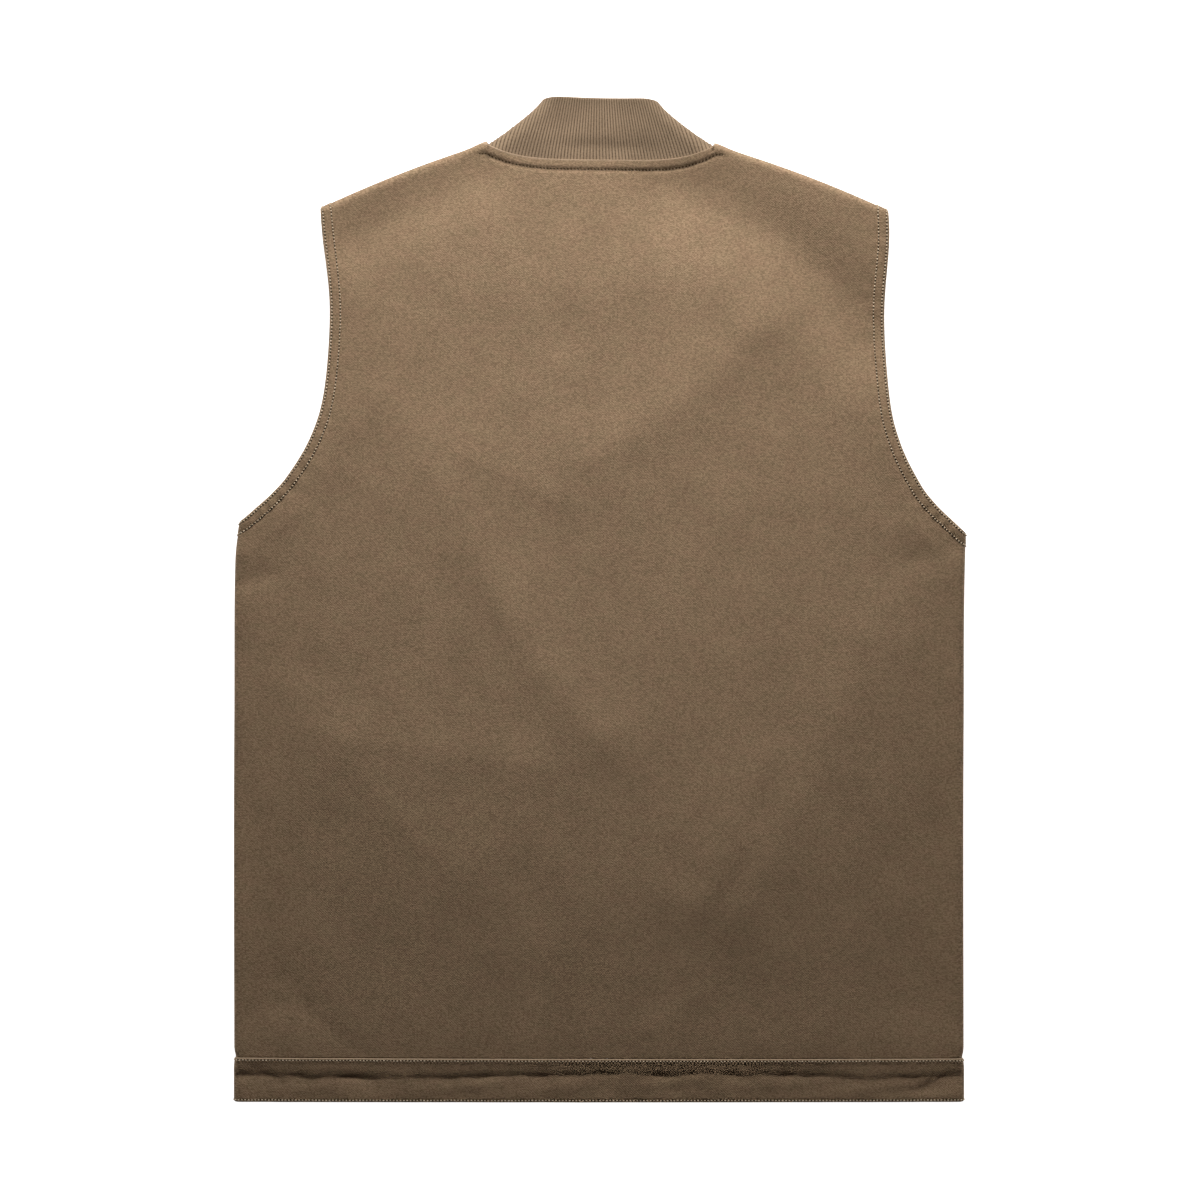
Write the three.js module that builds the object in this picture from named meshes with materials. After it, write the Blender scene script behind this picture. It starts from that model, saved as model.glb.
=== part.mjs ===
import * as THREE from "three";

// A sleeveless canvas work vest with a rib collar, lying on its front with the back up.
// Millimetres. The floor is z = 0. +Y runs from the hem to the collar and +X is the wearer's right.
// The origin is under the middle of the vest.

// Sizes of the vest laid flat
const CHEST_WIDTH = 562;
const BACK_LENGTH = 725;
const SHOULDER_SPAN = 436;
const ARMHOLE_HOLLOW = 5;
const ACROSS_BACK = SHOULDER_SPAN - 2 * ARMHOLE_HOLLOW;
const SHOULDER_DROP = 50;
const SHOULDER_BOW = 3.1;
const ARMHOLE_DEPTH = 243.5;
const NECK_WIDTH = 175;
const NECK_DIP = 12;
const FRONT_NECK_DROP = 78;
const COLLAR_HEIGHT = 48;
const COLLAR_TOP_WIDTH = 91;
const COLLAR_CORNER = 3;
const COLLAR_SAG = 1.2;
const HEM_BAND_WIDTH = 34;
const ARMHOLE_BAND_WIDTH = 9;
const ZIP_WIDTH = 12;

// Walls, heights and clearances
const CANVAS_WALL = 2.4;
const BAND_WALL = 3;
const COLLAR_WALL = 3;
const ZIP_WALL = 2;
const BODY_HEIGHT = 28;
const COLLAR_RISE = 18;
const FOLD_LINE_HEIGHT = 7.5;
const FOLD_RADIUS = 8;
const FOLD_SQUARENESS = 5;
const SEAM_GAP = 0.5;

// Ribs of the collar, and the stitched ridge along the neck seam
const RIB_PITCH_BASE = 2.5;
const RIB_PITCH_TOP = 1.85;
const RIB_DEPTH = 0.6;
const NECK_RIDGE_WIDTH = 6.4;
const NECK_RIDGE_RISE = 1.2;
const HEM_CREASE_DEPTH = 1.5;

// Powers of the curves: the crown of the back, the neck seams, the collar's side and corner,
// and the way its lower edge clears the shoulder
const CROWN_CURVE = 2.4;
const NECK_CURVE = 4;
const FRONT_NECK_CURVE = 0.7;
const COLLAR_FLARE = 1.2;
const CORNER_CURVE = 10;
const CLEARING_CURVE = 12;

// Numbers of rows and columns in the grids of the pieces
const FOLD_COLUMNS = 4;
const BACK_ROWS = 18;
const FRONT_ROWS = 3;
const ARMHOLE_SECTIONS = 12;
const ZIP_ROWS = 34;

// How the vest was laid down, and how its sides draw in at the underarms and at the hem seam
const LAY_SHIFT = 6;
const LAY_TURN = 0.015;
const LEFT_PINCH = 2.2;
const RIGHT_PINCH = 0.3;
const UNDERARM_PINCH_REACH = 16;
const HEM_PINCH = 1.2;
const HEM_PINCH_REACH = 4;

// Height of the back over its length. up is a share of BACK_LENGTH above the hem,
// middle and side are shares of BODY_HEIGHT.
const SECTIONS = [
  { up: 0.0, middle: 0.6, side: 0.48 },
  { up: 0.06, middle: 0.74, side: 0.5 },
  { up: 0.11, middle: 0.79, side: 0.42 },
  { up: 0.22, middle: 0.93, side: 0.38 },
  { up: 0.4, middle: 1.0, side: 0.5 },
  { up: 0.6, middle: 1.0, side: 0.66 },
  { up: 0.8, middle: 0.96, side: 0.7 },
  { up: 0.93, middle: 0.93, side: 0.88 },
  { up: 1.05, middle: 0.88, side: 0.94 },
];

// Edge of the armhole, from the underarm to the shoulder tip. up is a share of ARMHOLE_DEPTH,
// inward is a share of the way from the side to the narrowest place of the back.
const ARMHOLE = [
  { up: 0.0, inward: 0.0 },
  { up: 0.04, inward: 0.17 },
  { up: 0.086, inward: 0.36 },
  { up: 0.15, inward: 0.556 },
  { up: 0.274, inward: 0.8 },
  { up: 0.42, inward: 0.94 },
  { up: 0.68, inward: 1.0 },
  { up: 0.9, inward: 0.935 },
  { up: 1.0, inward: 0.94 },
];

// Dents and ridges of the back. Places are shares of half the chest width and of BACK_LENGTH,
// bow bends the line to its left by a share of its length, left and right are the widths of its
// two flanks in shares of half the chest width, soft is the round of its crest in shares of
// them, rise is a share of BODY_HEIGHT.
const FOLDS = [
  { fromX: 0.22, fromUp: 0.963, toX: 0.69, toUp: 0.825, bow: 0.058, left: 0.055, right: 0.05, soft: 3, rise: -0.3 },
  { fromX: -0.34, fromUp: 0.982, toX: -0.68, toUp: 0.912, bow: 0, left: 0.05, right: 0.04, soft: 3, rise: -0.2 },
  { fromX: -0.2, fromUp: 0.872, toX: 0.28, toUp: 0.878, bow: 0, left: 0.055, right: 0.05, soft: 3, rise: 0.12 },
  { fromX: 0.43, fromUp: 0.825, toX: -0.02, toUp: 0.686, bow: 0.04, left: 0.11, right: 0.13, soft: 0.2, rise: 0.17 },
  { fromX: 0.46, fromUp: 0.888, toX: 0.41, toUp: 0.825, bow: 0, left: 0.05, right: 0.05, soft: 0.5, rise: 0.06 },
  { fromX: -0.46, fromUp: 0.702, toX: -0.13, toUp: 0.639, bow: 0, left: 0.09, right: 0.06, soft: 0.3, rise: 0.075 },
  { fromX: -0.45, fromUp: 0.66, toX: 0, toUp: 0.389, bow: -0.05, left: 0.07, right: 0.08, soft: 0.3, rise: 0.12 },
  { fromX: -0.76, fromUp: 0.389, toX: -0.19, toUp: 0.357, bow: 0, left: 0.08, right: 0.1, soft: 0.2, rise: 0.07 },
  { fromX: -0.68, fromUp: 0.357, toX: -0.41, toUp: 0.246, bow: 0, left: 0.1, right: 0.09, soft: 0.2, rise: 0.08 },
  { fromX: 0.73, fromUp: 0.49, toX: 0.39, toUp: 0.214, bow: 0.04, left: 0.12, right: 0.1, soft: 0.3, rise: 0.15 },
  { fromX: 0.45, fromUp: 0.363, toX: 0.32, toUp: 0.267, bow: 0, left: 0.05, right: 0.05, soft: 0.3, rise: 0.06 },
  { fromX: 0.4, fromUp: 0.272, toX: 0.28, toUp: 0.211, bow: 0, left: 0.03, right: 0.08, soft: 0.3, rise: 0.06 },
  { fromX: -0.99, fromUp: 0.543, toX: -0.91, toUp: 0.552, bow: 0, left: 0.03, right: 0.02, soft: 1, rise: -0.08 },
  { fromX: 0.86, fromUp: 0.58, toX: 0.99, toUp: 0.592, bow: 0, left: 0.03, right: 0.03, soft: 1, rise: -0.07 },
  { fromX: -0.49, fromUp: 0.819, toX: -0.67, toUp: 0.713, bow: 0, left: 0.04, right: 0.04, soft: 0.5, rise: 0.06 },
  { fromX: -0.98, fromUp: 0.026, toX: -0.9, toUp: 0.01, bow: 0, left: 0.01, right: 0.02, soft: 0.5, rise: -0.06 },
];

// Where the vest lies. up is a share of BACK_LENGTH above the hem, shift is a share of
// LAY_SHIFT to the right, turn is a share of LAY_TURN.
const LAY = [
  { up: 0.0, shift: 0.0, turn: 0.0 },
  { up: 0.4, shift: 0.0, turn: 0.75 },
  { up: 0.6, shift: 0.25, turn: 1.0 },
  { up: 0.68, shift: 0.75, turn: 0.85 },
  { up: 0.78, shift: 1.05, turn: 0.65 },
  { up: 0.92, shift: 0.85, turn: 0.4 },
  { up: 1.0, shift: 0.28, turn: 0.3 },
  { up: 1.06, shift: 0.2, turn: 1.4 },
];

// Places worked out from the sizes
const HEM_Y = -(BACK_LENGTH + COLLAR_HEIGHT) / 2;
const NAPE_Y = HEM_Y + BACK_LENGTH;
const SIDE_X = CHEST_WIDTH / 2 - CANVAS_WALL / 2;
const NECK_X = NECK_WIDTH / 2;
const SHOULDER_RUN = (SHOULDER_SPAN - NECK_WIDTH) / 2;
const SHOULDER_SLOPE = Math.atan2(SHOULDER_DROP, SHOULDER_RUN);
const TIP_SLOPE = Math.atan2(SHOULDER_DROP + 4 * SHOULDER_BOW, SHOULDER_RUN);
const NECK_Y = NAPE_Y + NECK_DIP - CANVAS_WALL / 2;
const TIP_Y = NECK_Y - SHOULDER_DROP;
const UNDERARM_Y = TIP_Y - ARMHOLE_DEPTH;
const HEM_SEAM_Y = HEM_Y + HEM_BAND_WIDTH + SEAM_GAP;
const BODY_LOW = SECTIONS[0].side * BODY_HEIGHT;

const mix = (a, b, share) => a + (b - a) * share;
const clamp = (value) => Math.min(Math.max(value, 0), 1);
const smooth = (share) => share * share * (3 - 2 * share);
const hill = (away, spread) => Math.exp(-((away / spread) ** 2));

// Slope of a table's column at one of its rows, from the spans on its two sides.
function tableSlope(table, row, column) {
  const span = (from) => table[from + 1].up - table[from].up;
  const slope = (from) => (table[from + 1][column] - table[from][column]) / span(from);
  if (row === 0) return slope(0);
  if (row === table.length - 1) return slope(row - 1);
  return mix(slope(row - 1), slope(row), span(row - 1) / (span(row - 1) + span(row)));
}

// Reads a table of stations along a smooth curve through its rows.
function readTable(table, up, column) {
  let row = 0;
  while (row < table.length - 2 && up > table[row + 1].up) row += 1;
  const span = table[row + 1].up - table[row].up;
  const share = clamp((up - table[row].up) / span);
  const leave = share * (1 - share) ** 2 * span * tableSlope(table, row, column);
  const arrive = share ** 2 * (1 - share) * span * tableSlope(table, row + 1, column);
  return mix(table[row][column], table[row + 1][column], smooth(share)) + leave - arrive;
}

// Rise of one dent or ridge. It has a rounded crest and two flanks that die away.
function foldRise(fold, x, y) {
  const half = CHEST_WIDTH / 2;
  const startX = fold.fromX * half;
  const startY = HEM_Y + fold.fromUp * BACK_LENGTH;
  const runX = fold.toX * half - startX;
  const runY = HEM_Y + fold.toUp * BACK_LENGTH - startY;
  const length = Math.hypot(runX, runY);
  const along = ((x - startX) * runX + (y - startY) * runY) / length ** 2;
  const inside = clamp(along);
  const bend = 4 * fold.bow * length * inside * (1 - inside);
  const aside = (runX * (y - startY) - runY * (x - startX)) / length - bend;
  const width = (aside > 0 ? fold.left : fold.right) * half;
  const crest = fold.soft * width;
  const flank = Math.exp((crest - Math.hypot(aside, crest)) / width);
  const spread = ((fold.left + fold.right) / 2) * (1 + fold.soft / 1.5) * half;
  return fold.rise * BODY_HEIGHT * flank * hill((along - inside) * length, spread);
}

// Neck seam at the back: a shallow dip between the neck points.
function neckSeamY(x) {
  return NECK_Y - NECK_DIP * (1 - Math.min(Math.abs(x) / NECK_X, 1) ** NECK_CURVE);
}

// Neck seam at the front: a deep round dip, moved outwards by a clearance.
function frontNeckY(x, clear) {
  const share = Math.min(Math.abs(x) / (NECK_X + clear), 1);
  return NECK_Y - (FRONT_NECK_DROP + clear) * (1 - share * share) ** FRONT_NECK_CURVE;
}

// The ridge over the turned seam allowance below the collar, and the stitched groove under it.
function neckRidge(x, y) {
  const below = neckSeamY(x) - y;
  const ridge = NECK_RIDGE_RISE * smooth(clamp((NECK_RIDGE_WIDTH + 1 - below) / 2));
  const groove = NECK_RIDGE_RISE * Math.exp(-(((below - NECK_RIDGE_WIDTH - 1) / 2) ** 2));
  return ridge - groove;
}

// The long crease that runs along the hem band, steep above and gentle below.
function hemCrease(x, y) {
  const wander = 0.05 * HEM_BAND_WIDTH * Math.sin((9 * x) / CHEST_WIDTH + 1);
  const aside = y - HEM_Y - 0.6 * HEM_BAND_WIDTH - wander;
  const width = (aside > 0 ? 0.1 : 0.2) * HEM_BAND_WIDTH;
  return -HEM_CREASE_DEPTH * Math.exp(-Math.abs(aside) / width);
}

// Height of the back's middle surface over the floor, before its edges roll down.
function backHeight(x, y) {
  const up = (y - HEM_Y) / BACK_LENGTH;
  const across = Math.min(Math.abs(x) / (CHEST_WIDTH / 2), 1);
  const middle = readTable(SECTIONS, up, "middle") * BODY_HEIGHT;
  const side = readTable(SECTIONS, up, "side") * BODY_HEIGHT;
  const dents = FOLDS.reduce((sum, fold) => sum + foldRise(fold, x, y), 0);
  const crown = mix(middle, side, across ** CROWN_CURVE);
  return Math.max(crown + dents, BODY_LOW) + neckRidge(x, y) + hemCrease(x, y);
}

// Shoulder line over a place across, bowed a little upwards.
function shoulderY(x) {
  const share = clamp((Math.abs(x) - NECK_X) / SHOULDER_RUN);
  const straight = NECK_Y - (Math.abs(x) - NECK_X) * Math.tan(SHOULDER_SLOPE);
  return straight + 4 * SHOULDER_BOW * share * (1 - share);
}

// Distance inside the nearer fold line, the side or the shoulder, and the way inwards from it.
function nearestFold(x, y) {
  const mirror = x < 0 ? -1 : 1;
  const side = { distance: SIDE_X - Math.abs(x), inward: [-mirror, 0] };
  const outX = Math.sin(SHOULDER_SLOPE);
  const outY = Math.cos(SHOULDER_SLOPE);
  const shoulderDistance = (shoulderY(x) - y) * outY;
  const shoulder = { distance: shoulderDistance, inward: [-mirror * outX, -outY] };
  return side.distance < shoulder.distance ? side : shoulder;
}

// A point of a middle surface that rolls over at a fold line, with its outward normal.
// face is 1 for the back, on top, and -1 for the front, on the floor. curve is the power of the
// roll: 2 is round, and more is squarer.
function rolledPoint(x, y, face, fold, base, top, slope, curve) {
  const share = clamp(fold.distance / FOLD_RADIUS);
  const round = Math.sqrt(1 - (1 - share) ** curve);
  const steep = ((curve * (1 - share) ** (curve - 1)) / 2 / FOLD_RADIUS) * Math.abs(top - base);
  const normal = new THREE.Vector3(
    -slope[0] * round * round - steep * fold.inward[0],
    -slope[1] * round * round - steep * fold.inward[1],
    face * round,
  );
  return {
    middle: new THREE.Vector3(x, y, mix(base, top, round)),
    normal: normal.normalize(),
  };
}

// A point of the body's cloth. clear parts the two sides of a seam that lies on the fold line.
function bodyPoint(x, y, face, wall, clear = 0) {
  const fold = nearestFold(x, y);
  const base = FOLD_LINE_HEIGHT + (face * clear) / 2;
  let top = wall / 2;
  let slope = [0, 0];
  if (face > 0) {
    top = backHeight(x, y);
    slope = [backHeight(x + 1, y) - top, backHeight(x, y + 1) - top];
  }
  const point = rolledPoint(x, y, face, fold, base, top, slope, FOLD_SQUARENESS);
  return { ...point, out: wall / 2, into: wall / 2 };
}

// Moves a point as the vest was laid down.
function settle(point) {
  const up = clamp((point.y - HEM_Y) / BACK_LENGTH / LAY[LAY.length - 1].up) * LAY[LAY.length - 1].up;
  const underarmPinch = point.x > 0 ? RIGHT_PINCH : LEFT_PINCH;
  const underarm = underarmPinch * hill(point.y - UNDERARM_Y, UNDERARM_PINCH_REACH);
  const pinch = underarm + HEM_PINCH * hill(point.y - HEM_SEAM_Y, HEM_PINCH_REACH);
  const turn = LAY_TURN * readTable(LAY, up, "turn");
  point.y -= turn * point.x;
  point.x += LAY_SHIFT * readTable(LAY, up, "shift") - (pinch / SIDE_X) * point.x;
  return point;
}

// A closed wall from rows of points: each is pushed out and in along its normal.
// A ring joins its last row to its first.
function wallGeometry(rows, ring = false) {
  const columns = rows[0].length;
  const inner = rows.length * columns;
  const places = [];
  for (const sign of [1, -1]) {
    for (const point of rows.flat()) {
      const reach = sign > 0 ? point.out : -point.into;
      places.push(settle(point.middle.clone().addScaledVector(point.normal, reach)));
    }
  }
  const faces = [];
  const quad = (a, b, c, d) => faces.push(a, b, c, a, c, d);
  const last = ring ? rows.length : rows.length - 1;
  for (let row = 0; row < last; row += 1) {
    const low = row * columns;
    const high = ((row + 1) % rows.length) * columns;
    for (let column = 0; column < columns - 1; column += 1) {
      quad(low + column, low + column + 1, high + column + 1, high + column);
      const under = inner + column;
      quad(under + low, under + high, under + high + 1, under + low + 1);
    }
    quad(low, high, inner + high, inner + low);
    const end = columns - 1;
    quad(low + end, inner + low + end, inner + high + end, high + end);
  }
  if (!ring) {
    const top = (rows.length - 1) * columns;
    for (let column = 0; column < columns - 1; column += 1) {
      quad(column, inner + column, inner + column + 1, column + 1);
      quad(top + column, top + column + 1, inner + top + column + 1, inner + top + column);
    }
  }
  return closedGeometry(places, faces);
}

// Turns the faces outwards if the solid came out inside out.
function closedGeometry(places, faces) {
  let volume = 0;
  for (let i = 0; i < faces.length; i += 3) {
    const [a, b, c] = [places[faces[i]], places[faces[i + 1]], places[faces[i + 2]]];
    volume += a.dot(b.clone().cross(c));
  }
  const turned = volume < 0 ? faces.reverse() : faces;
  const geometry = new THREE.BufferGeometry().setFromPoints(places);
  geometry.setIndex(turned);
  geometry.computeVertexNormals();
  return geometry;
}

// Outline of the right armhole, from the underarm to the shoulder tip.
function armholeCurve() {
  const reach = SIDE_X - ACROSS_BACK / 2;
  const points = ARMHOLE.map((row) => {
    return new THREE.Vector2(SIDE_X - row.inward * reach, UNDERARM_Y + row.up * ARMHOLE_DEPTH);
  });
  const tip = points[points.length - 1];
  tip.x = SHOULDER_SPAN / 2;
  tip.y = shoulderY(tip.x);
  return new THREE.SplineCurve(points);
}

const ARMHOLE_EDGE = armholeCurve();

// A point of the right armhole's edge strip, inset from the outline. The strip is cut along
// the side fold at its lower end and along the shoulder fold at its upper end.
function armholePoint(t, inset) {
  const at = ARMHOLE_EDGE.getPoint(t);
  const tangent = ARMHOLE_EDGE.getTangent(t);
  const square = new THREE.Vector2(-tangent.y, tangent.x);
  const down = new THREE.Vector2(0, -1);
  const shoulder = new THREE.Vector2(-Math.cos(TIP_SLOPE), Math.sin(TIP_SLOPE));
  const way = square.clone();
  way.lerp(down, smooth(clamp(1 - t / 0.3)));
  way.lerp(shoulder, smooth(clamp((t - 0.9) / 0.1)));
  return at.addScaledVector(way, inset / way.dot(square));
}

// Finds t on the armhole where a measure that grows or falls steadily along it has a value.
function armholeAt(value, measure, from, to) {
  let [low, high] = [from, to];
  for (let step = 0; step < 40; step += 1) {
    const middle = (low + high) / 2;
    if (measure(middle) < value === measure(from) < value) low = middle;
    else high = middle;
  }
  return (low + high) / 2;
}

const PANEL_INSET = ARMHOLE_BAND_WIDTH + SEAM_GAP;
const PANEL_CORNER = armholePoint(0, PANEL_INSET);
const PANEL_TIP = armholePoint(1, PANEL_INSET);

// Half width of a panel at a height: the side fold, and above it the armhole seam.
function panelHalfWidth(y) {
  if (y <= PANEL_CORNER.y) return SIDE_X;
  if (y >= PANEL_TIP.y) return PANEL_TIP.x;
  const t = armholeAt(y, (share) => armholePoint(share, PANEL_INSET).y, 0, 1);
  return armholePoint(t, PANEL_INSET).x;
}

// Distances from a fold line that follow its round in equal turns.
function foldSteps(count, curve) {
  return Array.from({ length: count }, (_, step) => {
    return FOLD_RADIUS * (1 - Math.cos((step / count) * (Math.PI / 2)) ** (2 / curve));
  });
}

// Places along the armhole where the band and the panels have their sections: in equal turns
// round the two folds, and evenly between them.
function armholeSteps() {
  const gap = (t) => nearestFold(armholePoint(t, 0).x, armholePoint(t, 0).y).distance;
  const turns = foldSteps(FOLD_COLUMNS, FOLD_SQUARENESS).slice(1);
  const lower = turns.map((step) => armholeAt(step, gap, 0, 0.3));
  const upper = turns.map((step) => armholeAt(step, gap, 1, 0.7)).reverse();
  const even = [];
  const first = lower[lower.length - 1];
  for (let step = 1; step <= ARMHOLE_SECTIONS; step += 1) {
    even.push(mix(first, upper[0], step / (ARMHOLE_SECTIONS + 1)));
  }
  return [0, ...lower, ...even, ...upper, 1];
}

const ARMHOLE_STEPS = armholeSteps();

// Shares of a panel's length at which its rows lie: even below the underarm, and level with
// the sections of the armhole band beside it.
function panelRows(below) {
  const rise = (t) => armholePoint(t, PANEL_INSET).y - HEM_SEAM_Y;
  const shares = [];
  for (let row = 0; row < below; row += 1) shares.push(((rise(0) / rise(1)) * row) / below);
  return [...shares, ...ARMHOLE_STEPS.map((t) => rise(t) / rise(1))];
}

// A panel's grid. Each column is a share of the flat width or a distance from the side fold.
function panelGrid(columns, shares, neckY, face) {
  return shares.map((share) => {
    const edge = panelHalfWidth(mix(HEM_SEAM_Y, PANEL_TIP.y, share));
    return columns.map((column) => {
      const topX = column.side * (PANEL_TIP.x - column.fromEdge) * column.share;
      const isNeck = Math.abs(topX) < NECK_X + SEAM_GAP - 1e-6;
      const topY = isNeck ? neckY(topX) : shoulderY(topX);
      const x = column.side * (edge - column.fromEdge) * column.share;
      const y = mix(HEM_SEAM_Y, topY, share);
      return bodyPoint(x, y, face, CANVAS_WALL, SEAM_GAP);
    });
  });
}

// Columns of half a panel, from the fold line inwards to a distance from the middle. Those
// inside the neck point lie closer to it the more they are crowded.
function halfColumns(side, toX, outerCount, innerCount, crowding = 1) {
  const flat = PANEL_TIP.x - FOLD_RADIUS;
  const neckShare = (NECK_X + SEAM_GAP) / flat;
  const steps = foldSteps(FOLD_COLUMNS, FOLD_SQUARENESS);
  const columns = steps.map((step) => ({ side, fromEdge: step, share: 1 }));
  for (let i = 0; i < outerCount; i += 1) {
    columns.push({ side, fromEdge: FOLD_RADIUS, share: mix(1, neckShare, i / outerCount) });
  }
  for (let i = 0; i <= innerCount; i += 1) {
    const share = mix(neckShare, toX / flat, (i / innerCount) ** crowding);
    columns.push({ side, fromEdge: FOLD_RADIUS, share });
  }
  return columns;
}

function backPanel() {
  const left = halfColumns(-1, 0, 7, 6);
  const right = halfColumns(1, 0, 7, 6).reverse();
  const columns = [...left, ...right.slice(1)];
  return wallGeometry(panelGrid(columns, panelRows(BACK_ROWS), (x) => neckSeamY(x) - SEAM_GAP, 1));
}

// The front's inner edge runs straight beside the zip.
function frontPanel(side) {
  const zipEdge = ZIP_WIDTH / 2 + SEAM_GAP;
  const grid = panelGrid(
    halfColumns(side, zipEdge, 1, 5, 1.6),
    panelRows(FRONT_ROWS),
    (x) => frontNeckY(x, SEAM_GAP),
    -1,
  );
  for (const row of grid) row[row.length - 1].middle.x = side * zipEdge;
  return wallGeometry(grid);
}

// The double stitched band round an armhole, up over the back, over the shoulder and down
// the front. It is thinner at its two edges than along its middle.
function armholeBand(side) {
  const section = (t, face) => [0, 0.5, 1].map((share) => {
    const place = armholePoint(t, share * ARMHOLE_BAND_WIDTH);
    const point = bodyPoint(side * place.x, place.y, face, BAND_WALL);
    const thin = share === 0.5 ? 0 : 0.3;
    return { ...point, out: point.out - thin };
  });
  const back = ARMHOLE_STEPS.map((t) => section(t, 1));
  const front = ARMHOLE_STEPS.slice(1, -1).reverse().map((t) => section(t, -1));
  return wallGeometry([...back, ...front], true);
}

// The band along the hem, from the zip round one side, over the back and round the other side.
function hemBand() {
  const zipEdge = ZIP_WIDTH / 2 + SEAM_GAP;
  const flat = SIDE_X - FOLD_RADIUS;
  const steps = foldSteps(FOLD_COLUMNS, FOLD_SQUARENESS);
  const halfBack = [];
  for (let i = 0; i < 12; i += 1) halfBack.push(mix(0, flat, i / 12));
  const roll = [FOLD_RADIUS, ...steps.slice(1).reverse()].map((step) => SIDE_X - step);
  const halfFront = [zipEdge, mix(zipEdge, flat, 0.5)];
  const path = [];
  for (const x of halfFront) path.push([-x, -1]);
  for (const x of roll) path.push([-x, -1]);
  path.push([-SIDE_X, 1]);
  for (const x of [...halfBack, ...roll].slice(1).reverse()) path.push([-x, 1]);
  for (const x of [...halfBack, ...roll]) path.push([x, 1]);
  path.push([SIDE_X, 1]);
  for (const x of [...halfFront, ...roll].reverse()) path.push([x, -1]);
  const across = [0, 0.4, 0.6, 0.8, 1];
  const rows = across.map((share) => path.map(([x, face]) => {
    return bodyPoint(x, HEM_Y + share * HEM_BAND_WIDTH, face, BAND_WALL);
  }));
  return wallGeometry(rows);
}

// The rib collar laid flat: half its width between the side folds, at a share of its height.
function collarHalfWidth(up) {
  return mix(NECK_X, COLLAR_TOP_WIDTH / 2, 1 - (1 - up) ** COLLAR_FLARE) - COLLAR_WALL / 2;
}

// Ribs of half the back of the collar, and those of them that reach its top edge unturned.
const RIBS_TO_FOLD = Math.floor(collarHalfWidth(0) / RIB_PITCH_BASE);
const RIBS_TO_TOP = Math.floor((collarHalfWidth(1) - FOLD_RADIUS) / RIB_PITCH_TOP);

// Place across of a rib of the collar's back. The ribs fan out, and those beyond the ones
// that reach the top edge run up to the fold.
function ribX(rib, up) {
  const pitch = mix(RIB_PITCH_BASE, RIB_PITCH_TOP, up);
  if (rib <= RIBS_TO_TOP) return rib * pitch;
  const share = (rib - RIBS_TO_TOP) / (RIBS_TO_FOLD - RIBS_TO_TOP);
  return mix(RIBS_TO_TOP * pitch, collarHalfWidth(up), share);
}

// A point of the collar's middle surface. x is half of the way across, without its side.
function collarPoint(x, up, side, face, relief) {
  const half = collarHalfWidth(up);
  const share = x / half;
  const sideRise = COLLAR_HEIGHT - NECK_DIP + CANVAS_WALL / 2;
  const corner = COLLAR_CORNER * up * share ** CORNER_CURVE + COLLAR_SAG * up * (1 - share ** 2);
  const dip = face > 0 ? NECK_DIP * (1 - up) : FRONT_NECK_DROP - NECK_DIP * up;
  const bow = face > 0 ? 1 - share ** NECK_CURVE : (1 - share * share) ** FRONT_NECK_CURVE;
  const seamClear = (SEAM_GAP + CANVAS_WALL * share ** CLEARING_CURVE) * (1 - up);
  const y = NECK_Y + sideRise * up - corner - dip * bow + seamClear;
  const steep = Math.atan2(NECK_X - COLLAR_TOP_WIDTH / 2, sideRise);
  const inward = [-side * Math.cos(steep), -Math.sin(steep)];
  const fold = { distance: (half - x) * Math.cos(steep), inward };
  const seamTop = backHeight(side * x, neckSeamY(x)) - NECK_RIDGE_RISE;
  const top = face > 0 ? mix(seamTop, COLLAR_RISE, smooth(up)) : COLLAR_WALL / 2;
  const point = rolledPoint(side * x, y, face, fold, FOLD_LINE_HEIGHT, top, [0, 0], 2);
  return { ...point, out: COLLAR_WALL / 2 - relief, into: COLLAR_WALL / 2 };
}

// The collar runs from the zip round the left fold, over the back and round the right fold.
function ribCollar() {
  const zipEdge = ZIP_WIDTH / 2 + SEAM_GAP;
  const rows = [0, 0.33, 0.67, 1].map((up) => {
    const half = collarHalfWidth(up);
    const back = [];
    for (let step = 0; step <= 2 * RIBS_TO_FOLD; step += 1) {
      const reach = step / 2 > RIBS_TO_TOP ? 1 - up : 1;
      const relief = step % 2 ? RIB_DEPTH * reach : 0;
      back.push({ x: ribX(step / 2, up), face: 1, relief });
    }
    const front = foldSteps(3, 2).slice(1).map((step) => ({ x: half - step, face: -1, relief: 0 }));
    for (let step = 0; step <= 7; step += 1) {
      front.push({ x: mix(half - FOLD_RADIUS, zipEdge, step / 7), face: -1, relief: 0 });
    }
    const sideRow = [...back, ...front];
    const place = (at, side) => collarPoint(at.x, up, side, at.face, at.relief);
    const left = sideRow.slice(1).reverse().map((at) => place(at, -1));
    return [...left, ...sideRow.map((at) => place(at, 1))];
  });
  return wallGeometry(rows);
}

// The closed zip down the middle of the front, one plain strip from the hem to the collar's top.
function frontZip() {
  const topY = collarPoint(0, 1, 1, -1, 0).middle.y;
  const rows = [];
  for (let row = 0; row <= ZIP_ROWS; row += 1) {
    const y = mix(HEM_Y, topY, row / ZIP_ROWS);
    rows.push([-0.5, 0.5].map((share) => ({
      middle: new THREE.Vector3(share * ZIP_WIDTH, y, ZIP_WALL / 2 + SEAM_GAP / 2),
      normal: new THREE.Vector3(0, 0, -1),
      out: ZIP_WALL / 2,
      into: ZIP_WALL / 2,
    })));
  }
  return wallGeometry(rows);
}

function piece(name, geometry, color, roughness) {
  const material = new THREE.MeshStandardMaterial({ color, roughness, metalness: 0 });
  const mesh = new THREE.Mesh(geometry, material);
  mesh.name = name;
  return mesh;
}

const CANVAS_COLOR = "#78644c";
const RIB_COLOR = "#806b53";
const ZIP_COLOR = "#5c4b38";

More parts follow.
